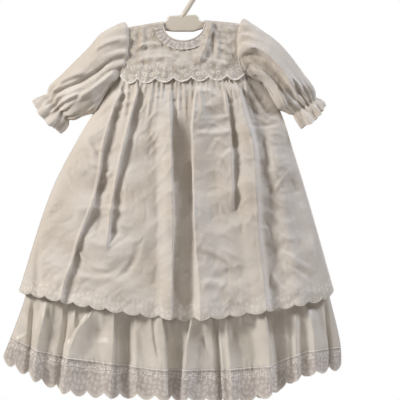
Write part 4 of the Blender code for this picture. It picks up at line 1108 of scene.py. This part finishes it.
sleeveLeft = {"rings": [
    (0.00, (-0.0980, -0.0770), (-0.1330, -0.1880), 0.0170), (0.08, (-0.1050, -0.0722), (-0.1378, -0.1920), 0.0200),
    (0.20, (-0.1210, -0.0765), (-0.1405, -0.2013), 0.0230), (0.35, (-0.1470, -0.0900), (-0.1443, -0.2112), 0.0245),
    (0.50, (-0.1680, -0.1140), (-0.1494, -0.2200), 0.0250), (0.65, (-0.1900, -0.1360), (-0.1560, -0.2288), 0.0250),
    (0.80, (-0.2120, -0.1580), (-0.1720, -0.2330), 0.0225), (0.92, (-0.2330, -0.1795), (-0.1880, -0.2380), 0.0170),
    (1.00, (-0.2415, -0.1950), (-0.2010, -0.2420), 0.0120), (1.07, (-0.2530, -0.2025), (-0.2050, -0.2520), 0.0150),
    (1.20, (-0.2640, -0.2110), (-0.2170, -0.2630), 0.0180)], "folds": [
    crossFold([(-0.235, -0.1968), (-0.21, -0.187), (-0.1838, -0.1758), (-0.155, -0.158), (-0.1278, -0.139),
        (-0.112, -0.128)], -0.0034, 0.005, 0.012, (0.02, 0.045)),
    crossFold([(-0.226, -0.176), (-0.2, -0.166), (-0.167, -0.158)], 0.0034, 0.01, 0.009, (0.012, 0.02)),
    crossFold([(-0.19, -0.207), (-0.16, -0.19), (-0.13, -0.166), (-0.112, -0.15)], 0.003, 0.01, 0.012,
        (0.014, 0.014)),
    crossFold([(-0.16, -0.12), (-0.13, -0.104), (-0.108, -0.1)], 0.0024, 0.008, 0.009, (0.012, 0.012)),
    crossFold([(-0.176, -0.226), (-0.15, -0.206), (-0.128, -0.182)], -0.0022, 0.007, 0.007, (0.012, 0.012)),
    crossFold([(-0.214, -0.214), (-0.2, -0.204), (-0.18, -0.196)], 0.0024, 0.006, 0.006, (0.01, 0.012)),
]}
sleeveMake = {"columns": 220, "rows": 130, "flat": (0.24, 0.20), "area": 0.038, "end": 1.2, "push": 2.3,
              "capBow": 0.023, "frillBow": 0.006, "joins": 0.08, "pinch": -0.0030,
              "cap": 0.0034, "capGathers": 15, "wrist": 0.0030, "wristGathers": 17,
              "frill": 0.0046, "frillRipple": 0.0012, "frillWaves": 7}


def bell(along, middle, wide):
    return np.exp(-((along - middle) / wide) ** 2)


def sleeveRing(rings, along):
    places = [ring[0] for ring in rings]
    ends = [through(list(zip(places, [ring[end][i] for ring in rings])), along) for end in (1, 2) for i in (0, 1)]
    return ends + [through(list(zip(places, [ring[3] for ring in rings])), along)]


def onArmhole(side, share, face):  # the sleeve's first ring, a hair outside the armhole
    holeX, holeZ = armhole(side, share)
    nextX, nextZ = armhole(side, np.minimum(1, share + 0.02))
    backX, backZ = armhole(side, np.maximum(0, share - 0.02))
    runX, runZ = nextX - backX, nextZ - backZ
    run = np.hypot(runX, runZ)
    gap = 0.0003 + 0.0007 * softRidge(share - 0.58, 0.16, 0.12)  # wider where the armhole bends
    holeX = holeX - side * gap * runZ / run
    holeZ = holeZ + side * gap * runX / run
    deep = np.where(share < gown["armEnd"], yokeDepth(holeX, holeZ), halfDepth(holeX, holeZ) + 0.0005)
    return holeX, face * np.maximum(0, deep - gown["seam"]), holeZ


def makeSleeve(side, name, node, spec, seed):
    make = sleeveMake

    def shape(u, v):
        turn = 2 * pi * u[None, :] + 0 * v[:, None]
        along = make["end"] * v[:, None] + 0 * u[None, :]
        share = (1 - np.cos(turn)) / 2
        face = np.where(turn < pi, -1.0, 1.0)
        topX, topZ, lowX, lowZ, deep = sleeveRing(spec["rings"], along)
        bow = make["capBow"] * np.maximum(0, 1 - along / 0.5) ** 2 \
            - make["frillBow"] * smoothStep((along - 0.95) / 0.2)
        chordX, chordZ = lowX - topX, lowZ - topZ
        length = np.hypot(chordX, chordZ)
        x = mix(topX, lowX, share) + side * chordZ / length * bow * np.sin(turn) ** 2
        z = mix(topZ, lowZ, share) - side * chordX / length * bow * np.sin(turn) ** 2
        joined = smoothStep(along / make["joins"])
        x, y, z = (mix(a, b, joined) for a, b in zip(onArmhole(side, share, face), (x, -deep * np.sin(turn), z)))
        # gathers at the cap and the wrist, waves in the frill
        outX, outY, outZ = x - (topX + lowX) / 2, y, z - (topZ + lowZ) / 2
        out = np.maximum(1e-6, np.sqrt(outX ** 2 + outY ** 2 + outZ ** 2))
        pick = np.random.default_rng(seed)
        uneven = 0.8 * np.sin(turn * 3 + pick.uniform(0, 6)) + 0.5 * np.sin(turn * 5 + pick.uniform(0, 6))
        cap = make["cap"] * np.sin(make["capGathers"] * turn + uneven) * bell(along, 0.09, 0.17) \
            * smoothStep(along / 0.10)
        wrist = make["wrist"] * np.sin(make["wristGathers"] * turn + uneven) * bell(along, 0.97, 0.09)
        waves = make["frillWaves"]
        frill = make["frill"] * np.sin(waves * turn + uneven) + make["frillRipple"] * np.sin(2 * waves * turn)
        move = cap + wrist + frill * smoothStep((along - 1.0) / 0.14) + make["pinch"] * bell(along, 1.0, 0.02)
        x, y, z = x + outX / out * move, y + outY / out * move, z + outZ / out * move
        push = layFolds(spec["folds"], x, z)[0]
        push = make["push"] * push + rumple(x, z, 0.035, 0.0010, seed) + creases(x, z, 0.036, 0.0009, seed)
        middle = np.abs(np.sin(turn)) * smoothStep(along / 0.12) * (1 - smoothStep((along - 0.93) / 0.06))
        return x, y + face * middle * push, z

    piece, net = clothPiece(name, make, shape, batiste, turned=side > 0, tube=True)
    standFor(piece, node)
    cord = edgeCord(name + "FrillEdge", edgeOf(net, -1), 0.0006, cordThread)


makeSleeve(-1, "sleeveLeft", "sleeve_left", sleeveLeft, 61)
makeSleeve(1, "sleeveRight", "sleeve_right", sleeveRight, 67)
print("sleeves made")

# the hook's round bar: a leaning stem that runs into a round open to the left, ending in a rounded tip
hook = {"round": 0.0205, "bar": 0.0042, "skin": 0.0002, "lean": radians(32), "end": radians(205), "footZ": -0.063,
        "stemSteps": 8, "steps": 72, "tipSteps": 9, "sides": 20}


def makeHook():
    bar, turn, lean = hook["bar"], hook["round"], hook["lean"]
    centreZ = bar - turn
    tangentX, tangentZ = turn * np.cos(lean), centreZ - turn * np.sin(lean)
    stem = np.linspace((tangentZ - hook["footZ"]) / np.cos(lean), 0, hook["stemSteps"], endpoint=False)
    endRun = turn * (lean + hook["end"])
    tip = endRun - bar * np.cos(np.linspace(0, pi / 2, hook["tipSteps"]))
    arc = np.concatenate([np.linspace(0, endRun - bar, hook["steps"], endpoint=False), tip]) / turn - lean
    x = np.concatenate([tangentX - stem * np.sin(lean), turn * np.cos(arc)])
    z = np.concatenate([tangentZ - stem * np.cos(lean), centreZ + turn * np.sin(arc)])
    path = np.stack([x, 0 * x, z], axis=1)
    piece = edgeCord("hangerHook", path, bar + hook["skin"], hangerPlastic, sides=hook["sides"], rounded=True)


makeHook()

# the hanger's moulding and the buttons keep their own shapes
for nodeName, material in (("hanger", hangerPlastic), *((f"back_button_{i}", pearl) for i in (1, 2, 3))):
    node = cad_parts[nodeName]
    node.data.materials.clear()
    node.data.materials.append(material)
print("hanger and buttons finished")
